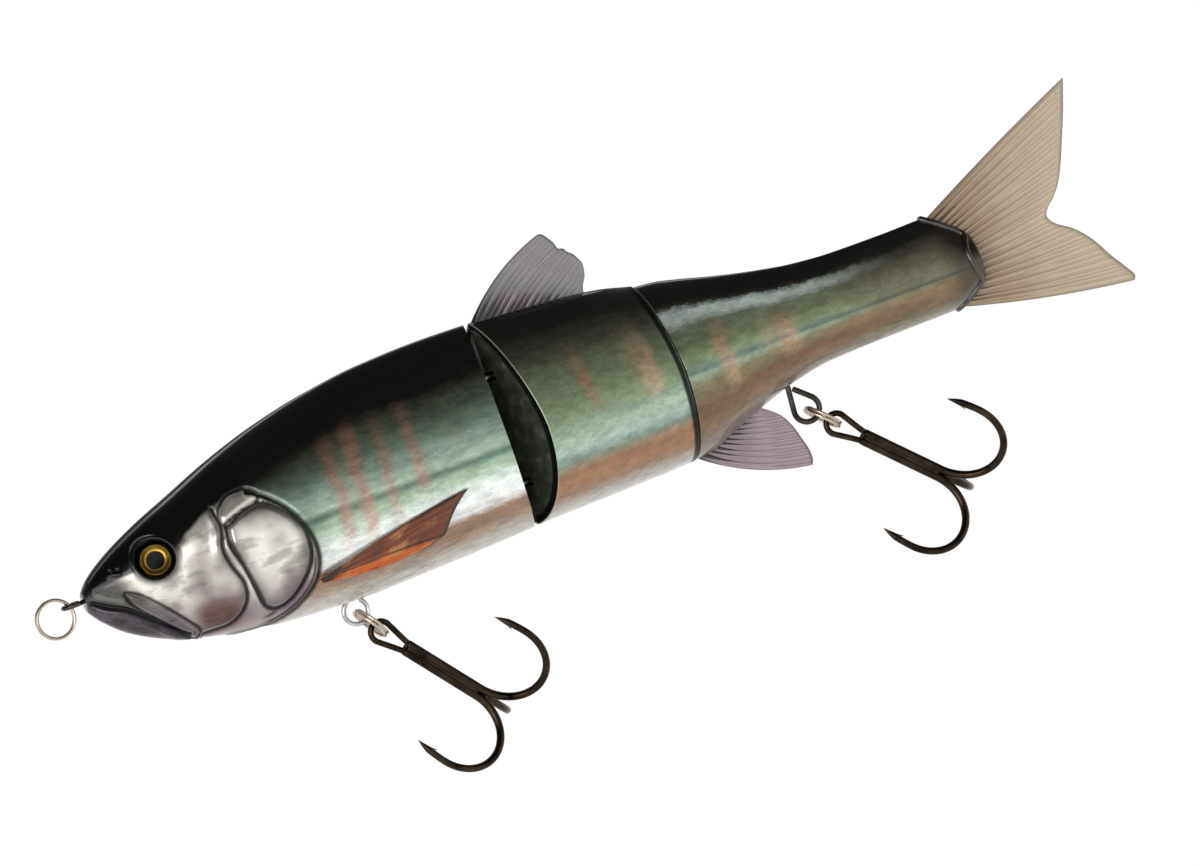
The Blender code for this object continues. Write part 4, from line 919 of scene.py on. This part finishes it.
for side, name in ((-1, "left"), (1, "right")):
    base = -floorDepth + eyes["clearance"] + 0.2
    rims = [0.01, 0.5, 1.0, 1.0, 0.93, 0.8, 0.62, 0.56, 0.5, 0.25, 0.01]
    heights = base + np.array([0, 0, 0, 0.40, 0.46, 0.52, 0.44, 0.38, 0.36, 0.36, 0.36])
    iris = turnedDisc(f"{name}_iris", side, heights, rims)
    wear(iris, irisLook.made)
    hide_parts(f"{name}_eye_foil")
    low = base + eyes["foil"] + eyes["clearance"] * 0.35
    dome = np.concatenate([np.linspace(0.01, 1.0, 7), np.cos(np.linspace(0, pi / 2, 18))[1:-1], [0.01]])
    rise = np.concatenate([np.zeros(7), np.sin(np.linspace(0, pi / 2, 18))[1:-1], [1.0]]) * eyes["dome"]
    lens = turnedDisc(f"{name}_lens", side, low + rise, dome)
    wear(lens, lensLook.made)
    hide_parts(f"{name}_eye_lens")
print("eyes set")


# fins
def finSheet(name, body, root, tip, bow, rays, thick, steps=(260, 64), lift=None):
    # root and tip are curves over s; a point is root + (tip - root) t, bowed across by bow(s) 4t(1-t);
    # thickness falls from root to tip and swells along each ray, and rays fork towards the tip
    s = np.linspace(0, 1, steps[0])[:, None]
    t = np.linspace(0, 1, steps[1])[None, :]
    rootLine = smoothPath(root, steps[0])[:, None, :]
    tipLine = smoothPath(tip, steps[0])[:, None, :]
    ray = tipLine - rootLine
    across = np.stack([-ray[..., 1], ray[..., 0]], -1)
    across /= np.linalg.norm(across, axis=-1)[..., None] + 1e-9
    flat = rootLine + ray * t[..., None] + across * (bow(s) * 4 * t * (1 - t))[..., None]
    uneven = s + 0.006 * np.sin(2 * pi * 5.3 * s) + 0.004 * np.sin(2 * pi * 11.7 * s + 1.0)
    wave = np.cos(2 * pi * rays * uneven)
    fork = np.cos(4 * pi * rays * uneven)
    ridges = 0.5 + 0.5 * (wave * (1 - ease(t, 0.35, 0.75)) + fork * ease(t, 0.35, 0.75))
    border = np.minimum(ease(s, 0, 0.025) * ease(1 - s, 0, 0.025), ease(1 - t, 0, 0.05))
    rootThick, tipThick, rayHeight = thick
    half = 0.5 * (rootThick * (1 - t) + tipThick * t) * (0.45 + 0.55 * border)
    half = half + rayHeight * ridges * border * (1 - 0.5 * t)
    x, z = flat[..., 0], flat[..., 1]
    level = lift(x, z) if lift else np.zeros_like(x)
    near = np.stack([x, level - half, z], -1)
    far = np.stack([x, level + half, z], -1)
    points = placed(np.stack([near, far]).reshape(-1, 3), body if body != "tail_fin" else "tail")
    rows, columns = steps
    count = rows * columns
    faces = gridFaces(rows, columns)
    number = np.arange(count).reshape(rows, columns)
    rim = np.concatenate([number[0, :-1], number[:-1, -1], number[-1, :0:-1], number[:0:-1, 0]])
    after = np.roll(rim, -1)
    side = np.stack([rim, rim + count, after + count, after], -1)
    faces = np.vstack([faces, faces[:, ::-1] + count, side])
    uv = np.stack([s + 0 * t, t + 0 * s], -1)
    uv = np.concatenate([uv.reshape(-1, 2), uv.reshape(-1, 2)])
    masks = dict(ray=np.tile((ridges + 0 * x).ravel(), 2))
    return makePiece(name, points, faces, body, uv, masks)


def finLook(name, inner, outer, rayColour, rootColour, alpha, rough, rim, fade=0.0, ink=0.24, hue=None):
    # a translucent moulded fin: colour from root to tip, rays across it, ink at the root and along the rim
    look = Look(name, Coat_Weight=0.6, Coat_Roughness=0.12, IOR=1.45, Subsurface_Weight=0.0)
    s, t = look.uv()
    cloud = look.noise(130, 3, 0.6)
    fine = look.noise(900, 3, 0.7)
    ray = look.mask("ray")
    body = look.mix(look.step(t + (cloud - 0.5) * 0.5, 0.05, 0.95), inner, outer)
    if hue:
        body = look.mix(look.step(look.noise(90, 2, 0.5), 0.48, 0.62) * 0.6, body, hue)
    faded = 1 - t * fade
    body = look.mix(look.step(ray, 0.75, 0.98) * faded * 0.7, body, rayColour)
    body = look.mix(look.step(ray, 0.22, 0.02) * faded * 0.34, body, rootColour)
    inked = look.step(t + (ray - 0.5) * -0.30 + (fine - 0.5) * 0.12, ink, ink - 0.14)
    body = look.mix(inked, body, rootColour)
    edge = look.step(t, 0.965, 0.995).most(look.step(s, 0.018, 0.004)).most(look.step(s, 0.982, 0.996))
    body = look.mix(edge * 0.6, body, rim)
    clear = alpha + edge * 0.12 + inked * (1 - alpha) + (ray - 0.5) * 0.10 + (cloud - 0.5) * 0.14
    look.set(Base_Color=body, Roughness=rough, Alpha=clear.held(), Normal=look.bump(fine, 0.00004))
    return look


dorsal = dict(
    root=[(-0.1, 21.05), (7.0, 20.5), (15.5, 19.4), (23.6, 17.9)],
    tip=[
        (19.3, 31.9), (20.2, 31.6), (21.2, 30.4), (21.8, 29.5), (22.2, 28.4), (23.2, 28.0), (23.8, 27.2),
        (24.8, 26.4), (25.4, 25.4), (25.9, 24.4), (25.8, 23.3), (25.4, 22.0), (24.6, 21.0), (24.0, 20.0),
    ],
)
pelvic = dict(
    root=[(0.2, -14.5), (4.2, -13.4), (8.8, -11.6), (12.6, -9.4)],
    tip=[
        (19.7, -22.9), (20.1, -21.8), (20.0, -20.0), (19.4, -17.8), (18.6, -15.2), (17.4, -13.0),
        (15.6, -11.3), (13.9, -10.1),
    ],
)
tailFan = dict(
    root=[(51.6, 9.6), (54.6, 6.6), (56.2, 4.2), (56.4, 1.8), (56.0, -1.0), (55.0, -3.6), (52.6, -5.6)],
    tip=[
        (85.0, 25.5), (84.0, 22.6), (82.9, 19.6), (81.0, 15.0), (79.3, 11.1), (77.8, 8.3), (76.1, 6.25),
        (74.7, 5.0), (74.0, 3.6), (75.1, 1.9), (77.8, 0.0), (80.3, -2.8), (82.5, -6.6), (84.2, -9.2),
        (85.4, -11.2), (85.1, -12.2),
    ],
)
pectoral = dict(
    root=[(38.9, -10.2), (39.0, -10.4), (39.1, -10.6), (39.2, -10.9)],
    tip=[
        (68.7, -4.1), (66.4, -5.7), (64.4, -7.5), (62.9, -9.2), (62.0, -10.2), (60.8, -10.6),
        (58.0, -11.3), (54.9, -11.6), (49.8, -11.8), (44.1, -11.6),
    ],
    upper=[
        (38.8, -10.1), (43.3, -8.9), (47.1, -8.1), (51.4, -7.3), (55.3, -6.7), (58.9, -6.2), (62.3, -5.8),
        (65.4, -5.1), (69.0, -4.6),
    ],
)


def moved(fin, by):
    # a fin's root and tip curves, moved back to the front of its section
    return [[(x + by, z) for x, z in fin[curve]] for curve in ("root", "tip")]


smokyFin = finLook(
    "smoky_rose_fin", "605a5a", "989292", "2e2828", "0f0d0c", 0.72, 0.3, "2e2a2a", hue="a07f83")
mauveFin = finLook(
    "mauve_pink_fin", "85707a", "ab929b", "52414a", "1c1614", 0.74, 0.3, "3a3134", hue="a8889a")
tanFin = finLook("tan_urethane_fin", "a08461", "cdbb9c", "5c4831", "32271a", 0.82, 0.36, "6f675b", 0.72, 0.12)
dorsalFin = finSheet("dorsal_blade", "mid", *moved(dorsal, midFront),
                     lambda s: 1.5 * (1 - s) ** 1.6 - 0.3 * s, 16, (0.95, 0.34, 0.12))
wear(dorsalFin, smokyFin.made)
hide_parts("dorsal_fin")
pelvicFin = finSheet("pelvic_blade", "tail", *moved(pelvic, tailFront),
                     lambda s: -1.5 * (1 - s) ** 1.6 + 0.2 * s, 12, (0.95, 0.34, 0.12))
wear(pelvicFin, mauveFin.made)
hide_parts("pelvic_fin")


def tailGrooveShade():
    # a raised dark bead round the rear end of the tail shells, down one flank, under, and up the other:
    # painted shade, standing for the shade of the groove where the soft tail nests
    line = smoothPath(tailGrooveShadeLine, 90) + [tailFront, 0]
    wide = halfWidthAt(line[:, 0], line[:, 1] * 0.985) + 0.05
    down = np.stack([line[:, 0], -wide, line[:, 1]], -1)
    up = down[::-1] * [1, -1, 1]
    points, faces, ends = tube(np.vstack([down, up[1:]]), 0.55, 14)
    return makePiece("tail_groove_shade_bead", placed(points, "tail"), faces, "tail", extra=ends)


# painted shade: near-black bead colour for the groove's shade
grooveShadeLook = Look("groove_shade_black_brown", Coat_Weight=1.0, Coat_Roughness=0.06)
grooveShadeGrain = grooveShadeLook.ramp(grooveShadeLook.noise(300), [(0.35, "0b0907"), (0.7, "2a2118")])
grooveShadeLook.set(Base_Color=grooveShadeGrain, Roughness=0.3)
tailGrooveShadeLine = [
    (52.4, 10.9), (55.6, 8.5), (58.5, 5.9), (58.0, 4.2), (57.7, 2.4), (58.2, -0.6), (58.8, -2.8),
    (56.2, -4.9), (53.6, -6.2),
]
wear(tailGrooveShade(), grooveShadeLook.made)
tailBlade = finSheet("tail_blade", "tail_fin", *moved(tailFan, tailFront),
                     lambda s: 0.35 * (1 - s) ** 3 - 0.7 * s ** 3, 19, (1.1, 0.5, 0.16), (380, 90))
wear(tailBlade, tanFin.made)
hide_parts("tail_fin")


def amberLook():
    # glossy amber: a dark upper lobe, a bright lower lobe, a dark line between them, fine streaks across
    look = Look("amber_leaf_fin", Coat_Weight=0.55, Coat_Roughness=0.06, IOR=1.45)
    s, t = look.uv()
    cloud = look.noise(260, 3, 0.6)
    streak = look.noise(520, 3, 0.6, (0.35, 1.0, 1.0), look.along(25.0))
    ray = look.mask("ray")
    body = look.mix(look.step(s + (cloud - 0.5) * 0.20, 0.28, 0.46), "733511", "c85c12")
    body = look.mix(look.step(streak, 0.50, 0.68) * 0.60, body, "cf8f50")
    body = look.mix(look.step(streak, 0.46, 0.30) * 0.60, body, "351a0b")
    body = look.mix(look.band(s + (cloud - 0.5) * 0.05, 0.32, 0.36, 0.02) * 0.75, body, "1f1006")
    body = look.mix(look.step(ray, 0.25, 0.02) * 0.35, body, "2c1508")
    edge = look.step(t, 0.95, 0.99).most(look.step(s, 0.03, 0.006)).most(look.step(s, 0.975, 0.995))
    body = look.mix(edge.most(look.step(t + (cloud - 0.5) * 0.2, 0.24, 0.06)) * 0.85, body, "150d07")
    clear = (0.95 + (cloud - 0.5) * 0.1).held()
    look.set(Base_Color=body, Roughness=0.2, Alpha=clear, Normal=look.bump(streak, 0.00006))
    return look


amberFin = amberLook()
upperX, upperZ = np.array(pectoral["upper"]).T


def besideFlank(side):
    # how far out the side fin lies: clear of the flank at its upper edge, spreading outward below it
    table = np.linspace(38, 70, 65)
    high = np.interp(table, upperX, upperZ)
    near = halfWidthAt(table, high)

    def level(x, z):
        below = np.interp(x, upperX, upperZ) - z
        return side * (np.interp(x, table, near) + 0.62 + 0.12 * below)
    return level


for side, name in ((-1, "left"), (1, "right")):
    leaf = finSheet(f"{name}_side_fin", "head", pectoral["root"], pectoral["tip"],
                    lambda s: 0.55 * (1 - s) ** 2, 7, (0.62, 0.34, 0.05), (160, 70), besideFlank(side))
    wear(leaf, amberFin.made)
    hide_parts(f"{name}_pectoral_fin")
print("fins set")


# wire eyes, rings and hooks
wires = dict(
    neck=1.3,  # reach of a loop's leg, as a share of the loop's radius
    tieLoop=1.7, tieWire=0.42, tieShank=9.0,
    hangerWire=0.42, bellyLoop=2.2, bellyDrop=1.8, bellyAt=45.1, bellyShank=8.0,
    rearLoop=2.3, rearNeck=5.1, rearClosed=0.74, rearLean=22.0, rearAt=20.1, rearShank=7.0, rearThicker=1.22,
    eyeWire=0.5, eyeLoop=1.35, eyeShank=7.0,
    ring=3.35, ringWire=0.29, ringGap=0.05,
)


def loopPath(loop, reach, shank, half=0.0, steps=64):
    # a shank along +a, a leg touching the loop where it is tangent, once round it, and back to the neck;
    # with half given, two legs stand that far to either side
    start = atan2(half, reach) + acos(loop / np.hypot(reach, half))
    turn = np.linspace(start, 2 * pi - start, steps)
    path = [(reach, -half)] + list(zip(loop * np.cos(turn), -loop * np.sin(turn)))
    if shank:
        path = [(reach + shank * (1 - k / 6), -half) for k in range(6)] + path
    if half:
        path.append((reach, half))
    return np.array(path)


def steelLook(name, low, high, rough=(0.18, 0.32), metallic=1.0):
    look = Look(name, Coat_Weight=0.0)
    cloud = look.noise(240, 3, 0.5)
    fine = look.noise(1600, 2, 0.6)
    look.set(Base_Color=look.ramp(cloud * 0.8 + fine * 0.2, [(0.3, low), (0.7, high)]), Metallic=metallic,
             Roughness=look.step(fine, 0.2, 0.8, *rough), Normal=look.bump(fine, 0.000003))
    return look.made


blackNickel = steelLook("black_nickel", "1c1b1a", "5c5852")
brightSteel = steelLook("bright_steel", "8f8f8f", "e2e2e2", (0.10, 0.22))
champagne = steelLook("champagne_steel", "97897b", "dccfc0", (0.12, 0.24))
bronze = steelLook("hook_black_bronze", "070605", "463a2f", (0.14, 0.28))
innerSteel = steelLook("pin_steel", "6d6d6c", "b5b5b4", (0.2, 0.35))
leadLook = steelLook("cast_lead", "35353a", "5c5c62", (0.5, 0.7))
for node, made in (
    ("chin_ballast", leadLook), ("head_ballast", leadLook), ("mid_ballast", leadLook),
    ("tail_ballast", leadLook), ("front_joint_pin", innerSteel), ("rear_joint_pin", innerSteel),
    ("tail_pin", innerSteel),
):
    frame["nodes"][node].data.materials.clear()
    frame["nodes"][node].data.materials.append(made)


def wirePiece(name, body, parts, material, slot, *nodes):
    points, faces, ends = joined(parts)
    piece = makePiece(name, points, faces, body, extra=ends)
    wear(piece, material)
    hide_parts(*nodes)
    return piece


def straightTube(path, radii, body, sides=20):
    points, faces, ends = tube(path, radii, sides)
    return placed(points, body), faces, ends


tiePath = loopPath(wires["tieLoop"], wires["neck"] * wires["tieLoop"], wires["tieShank"])
tie = np.stack([tiePath[:, 0] - lure["noseX"], tiePath[:, 1], 0 * tiePath[:, 0]], -1)
tieTube = straightTube(tie, wires["tieWire"], "head")
wirePiece("line_tie_wire", "head", [tieTube], blackNickel, "black_nickel_wire", "line_tie")
keelAt = lambda at: float(sectionAt(np.array([at]))[1][0])
hangerPath = loopPath(wires["bellyLoop"], wires["neck"] * wires["bellyLoop"], wires["bellyShank"])
hangerLow = keelAt(wires["bellyAt"]) - wires["bellyDrop"]
out, across = hangerPath.T
hanger = np.stack([across + wires["bellyAt"], 0 * out, out + hangerLow], -1)
hangerTube = straightTube(hanger, wires["hangerWire"], "head")
wirePiece("belly_hanger_wire", "head", [hangerTube], brightSteel, "silver_wire", "belly_hanger")
lean = radians(wires["rearLean"])
rearPath = loopPath(wires["rearLoop"], wires["rearNeck"], wires["rearShank"])
back = np.linspace(0, wires["rearClosed"], 12)[1:, None]
rearPath = np.vstack([rearPath, rearPath[-1] * (1 - back) + np.array([wires["rearNeck"], 0]) * back])
neckX = tailFront + wires["rearAt"]
centreX, centreZ = neckX + wires["rearNeck"] * sin(lean), keelAt(neckX) - wires["rearNeck"] * cos(lean)
rear = np.stack([
    centreX + rearPath[:, 1] * cos(lean) - rearPath[:, 0] * sin(lean), 0 * rearPath[:, 0],
    centreZ + rearPath[:, 1] * sin(lean) + rearPath[:, 0] * cos(lean)], -1)
rearTube = straightTube(rear, wires["rearThicker"] * wires["hangerWire"], "tail")
wirePiece("rear_hanger_wire", "tail", [rearTube], blackNickel, "black_nickel_wire", "rear_hanger")
eyePath = loopPath(wires["eyeLoop"], wires["neck"] * wires["eyeLoop"], wires["eyeShank"])
for body, hinge, label in (("head", hingeAt["mid"], "front"), ("mid", hingeAt["tail"], "rear")):
    for level, height in zip(("upper", "lower"), eyeHeights["mid" if body == "head" else "tail"]):
        loop = np.stack([hinge - eyePath[:, 0], eyePath[:, 1], height + 0 * eyePath[:, 0]], -1)
        wirePiece(f"{label}_{level}_screw_eye", body, [straightTube(loop, wires["eyeWire"], body)],
                  innerSteel, "stainless_steel", f"{label}_joint_{level}_eye")


def frameOf(origin, xAxis, yAxis):
    # a function that takes millimetres in a little frame to world metres
    x = np.array(xAxis, float) / np.linalg.norm(xAxis)
    y = np.array(yAxis, float)
    y = y - x * x.dot(y)
    y /= np.linalg.norm(y)
    axes = np.stack([x, y, np.cross(x, y)])
    return lambda p: (np.asarray(p, float) @ axes) * mm + np.array(origin)


def ringPoints(turns=1.96):
    # two turns of flattened wire side by side, with a jog where one turn passes to the next
    pitch = 2 * wires["ringWire"] + wires["ringGap"]
    t = np.linspace(0, 1, 260)
    angle = 2 * pi * turns * t
    jog = ease(angle, pi * 1.65, pi * 2.15) - 0.5
    return np.stack([pitch * jog, wires["ring"] * np.sin(angle), wires["ring"] * np.cos(angle)], -1)


def splitRing(name, body, centre, xAxis, yAxis):
    points, faces, ends = tube(ringPoints(), wires["ringWire"], 14)
    put = frameOf(centre, xAxis, yAxis)
    piece = makePiece(name, put(points), faces, body, extra=ends)
    wear(piece, champagne)
    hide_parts(body)


droop = radians(32)
inward = wires["ring"] - wires["tieWire"] - wires["ringWire"] - 0.3
nosePivot = np.array(joints["nose_ring_swing"]["pos_m"])
noseCentre = nosePivot + np.array([-cos(droop), 0, -sin(droop)]) * inward * mm
splitRing("nose_split_ring", "nose_ring", noseCentre, (0, 1, 0), (-1, 0, 0))

hook = dict(
    wire=0.58, eyeWire=0.54, eyeLoop=1.85, eyeLength=5.9, shank=1.15, reach=28.4, gap=15.3, spear=6.0,
    slack=1.0, barb=2.3, spread=0.84, shankSwell=1.28, bendSwell=1.10, spearSwell=1.08,
)


def trebleHook(roll):
    # in millimetres along +x from the middle of the eye: the eye, three wires brazed into a shank, and
    # three bends with barbs
    k = hook
    half = k["shank"] - k["eyeWire"]
    loop = loopPath(k["eyeLoop"], k["eyeLength"] + k["eyeWire"], 0, half, 80)
    loop = np.vstack([[(k["eyeLength"] + 6.0, -half * 0.75)], loop, [(k["eyeLength"] + 6.0, half * 0.75)]])
    eye = np.stack([loop[:, 0], 0 * loop[:, 0], loop[:, 1]], -1)
    parts = [tube(smoothPath(eye, 180), k["eyeWire"], 18)]
    bend = k["gap"] / 2
    turn = k["reach"] - bend - k["wire"]
    for n in range(3):
        angle = radians(90 + 120 * n + roll)
        out = np.array([0, sin(angle), cos(angle)])
        straight = np.linspace(k["eyeLength"] - 0.6, turn - 1.0, 8)
        shankPath = straight[:, None] * [1.0, 0, 0] + out * k["spread"]
        arc = np.linspace(0, pi, 60)
        outward = k["spread"] + (bend - 0.5 * k["spread"]) * (1 - np.cos(arc))
        rounded = turn + (bend + 0.1) * np.sin(arc)
        bendPath = rounded[:, None] * [1.0, 0, 0] + out * outward[:, None]
        t = np.linspace(0.04, 1, 30)
        spear = bendPath[-1] + np.stack([-t * k["spear"], 0 * t, 0 * t], -1) + out * (-0.8 * t * t)[:, None]
        path = np.vstack([shankPath, bendPath, spear])
        point = np.clip((1 - t) / 0.42, 0.03, 1) ** 0.8
        radii = np.concatenate([
            np.full(len(shankPath), k["shankSwell"]), np.linspace(k["shankSwell"], k["bendSwell"], len(arc)),
            k["spearSwell"] * point])
        parts.append(tube(path, k["wire"] * radii, 18))
        # the barb: a short spur cut up from the inner side of the spear, pointing back down the bend
        root = bendPath[-1] + np.array([-k["spear"] * 0.70, 0, 0]) + out * -0.55
        end = root + np.array([k["barb"] * 0.9, 0, 0]) + out * -0.62
        spur = np.linspace(0, 1, 8)[:, None]
        line = root * (1 - spur) + end * spur + out * 0.10 * np.sin(pi * spur)
        parts.append(tube(line, 0.32 * (1 - spur[:, 0]) + 0.035, 10))
    # brass solder that fills the grooves of the shank
    core = np.stack([np.linspace(k["eyeLength"] - 0.2, turn - 0.4, 10), np.zeros(10), np.zeros(10)], -1)
    swell = 0.98 + 0.06 * np.sin(np.linspace(0, pi * 3, 10))
    parts.append(tube(core, swell, 18))
    return parts


sets = dict(
    front=dict(body="head", hang=57.0, shank=51.0, loop=wires["bellyLoop"], roll=-8.0),
    rear=dict(body="tail", hang=45.0, shank=45.0, loop=wires["rearLoop"], roll=-8.0),
)
for place, kind in sets.items():
    turn = sectionTurn[kind["body"]]
    ahead = np.array([cos(turn), sin(turn), 0])
    across = np.array([-sin(turn), cos(turn), 0])
    down = lambda angle: ahead * cos(radians(angle)) - np.array([0, 0, sin(radians(angle))])
    pivot = np.array(joints[f"{place}_ring_swing"]["pos_m"])
    centre = pivot + down(kind["hang"]) * (wires["ring"] - kind["loop"]) * mm
    splitRing(f"{place}_split_ring", f"{place}_ring", centre, np.cross(across, -down(kind["hang"])), across)
    shank = down(kind["shank"])
    eyeCentre = np.array(joints[f"{place}_hook_swing"]["pos_m"]) - shank * hook["slack"] * mm
    put = frameOf(eyeCentre, shank, across)
    parts = [(put(p), f, e) for p, f, e in trebleHook(kind["roll"])]
    wirePiece(f"{place}_treble", f"{place}_hook", parts, bronze, "hook_bronze", f"{place}_hook")
print("wires, rings and hooks set")


# stage, light and camera
studio = dict(
    floorDrop=0.004, floorSide=14.0, distance=5.775, lens=1000.0, azimuth=14.0, elevation=4.0, rise=20.5,
    alongView=94.0, aboveView=-4.0,
)
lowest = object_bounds()[0][2]
floorMesh = bpy.data.meshes.new("floor")
half = studio["floorSide"] / 2
level = lowest - studio["floorDrop"]
corners = [(half * x, half * y, level) for x, y in ((-1, -1), (1, -1), (1, 1), (-1, 1))]
floorMesh.from_pydata(corners, [], [(0, 1, 2, 3)])
floor = bpy.data.objects.new("floor", floorMesh)
bpy.context.scene.collection.objects.link(floor)
floorLook = Look("pale_floor", Roughness=0.9, IOR=1.2)
spot = floorLook.add("ShaderNodeVectorMath", dict(operation="LENGTH"), floorLook.place(), out=1)
far = floorLook.step(spot, 0.25, 0.7)
floorLook.set(
    Base_Color=floorLook.mix(far, (0.30,) * 3, (0.0,) * 3),
    Emission_Color=floorLook.mix(far, (0.93,) * 3, (1.0,) * 3))
floorLook.surface.inputs["Emission Strength"].default_value = 1.0
floor.data.materials.append(floorLook.made)

world = bpy.data.worlds.new("studio")
world.use_nodes = True
bpy.context.scene.world = world
backdrop = world.node_tree.nodes["Background"]
path = world.node_tree.nodes.new("ShaderNodeLightPath")
# what the lure mirrors: bright at the horizon, smoothly falling to near dark overhead
direction = world.node_tree.nodes.new("ShaderNodeTexCoord")
height = world.node_tree.nodes.new("ShaderNodeSeparateXYZ")
fall = world.node_tree.nodes.new("ShaderNodeMapRange")
fall.interpolation_type = "SMOOTHERSTEP"
level = world.node_tree.nodes.new("ShaderNodeMix")
for socket, value in zip(fall.inputs[1:5], (-0.02, 0.80, 0.85, 0.05)):
    socket.default_value = value
level.inputs[3].default_value = 1.0
for start, end in (
    (direction.outputs["Generated"], height.inputs[0]), (height.outputs[2], fall.inputs[0]),
    (fall.outputs[0], level.inputs[2]), (path.outputs["Is Camera Ray"], level.inputs[0]),
    (level.outputs[0], backdrop.inputs["Strength"]),
):
    world.node_tree.links.new(start, end)
backdrop.inputs["Color"].default_value = (1, 1, 1, 1)


def softbox(name, spot, aim, size, power, colour=(1, 1, 1)):
    lamp = bpy.data.lights.new(name, "AREA")
    lamp.shape = "RECTANGLE"
    lamp.size, lamp.size_y = size
    lamp.energy = power
    lamp.color = colour
    placedLamp = bpy.data.objects.new(name, lamp)
    placedLamp.location = spot
    placedLamp.rotation_euler = (Vector(aim) - Vector(spot)).to_track_quat("-Z", "Y").to_euler()
    bpy.context.scene.collection.objects.link(placedLamp)


middle = (0.09, 0.0, 0.0)
softbox("back_rim", (0.05, 0.55, 0.75), middle, (1.2, 0.18), 1.2)
softbox("front_left", (-0.75, -1.10, 0.20), middle, (1.1, 0.9), 9.0)

scene = bpy.context.scene
camera = bpy.data.objects.new("camera", bpy.data.cameras.new("camera"))
camera.data.lens = studio["lens"]
camera.data.sensor_width = 36.0
scene.collection.objects.link(camera)
az, el = radians(studio["azimuth"]), radians(studio["elevation"])
right = Vector((cos(az), -sin(az), 0))
forward = Vector((sin(az) * cos(el), cos(az) * cos(el), -sin(el)))
up = right.cross(forward)
slope = atan2(Vector((1, 0, 0)).dot(up), Vector((1, 0, 0)).dot(right))
roll = radians(studio["rise"]) - slope
# the middle of the view, measured from the nose along and above the lure's line as the camera sees it
alongView, aboveView = studio["alongView"] * mm, studio["aboveView"] * mm
lineDir = right * cos(slope) + up * sin(slope)
crossDir = up * cos(slope) - right * sin(slope)
target = Vector((lure["noseX"] * mm, 0, 0)) + lineDir * alongView + crossDir * aboveView
viewRight = right * cos(roll) - up * sin(roll)
viewUp = up * cos(roll) + right * sin(roll)
turned = Matrix((viewRight, viewUp, -forward)).transposed().to_4x4()
camera.matrix_world = Matrix.Translation(target - forward * studio["distance"]) @ turned
scene.camera = camera
scene.view_settings.view_transform = "Standard"
scene.view_settings.look = "None"

print("stage set")
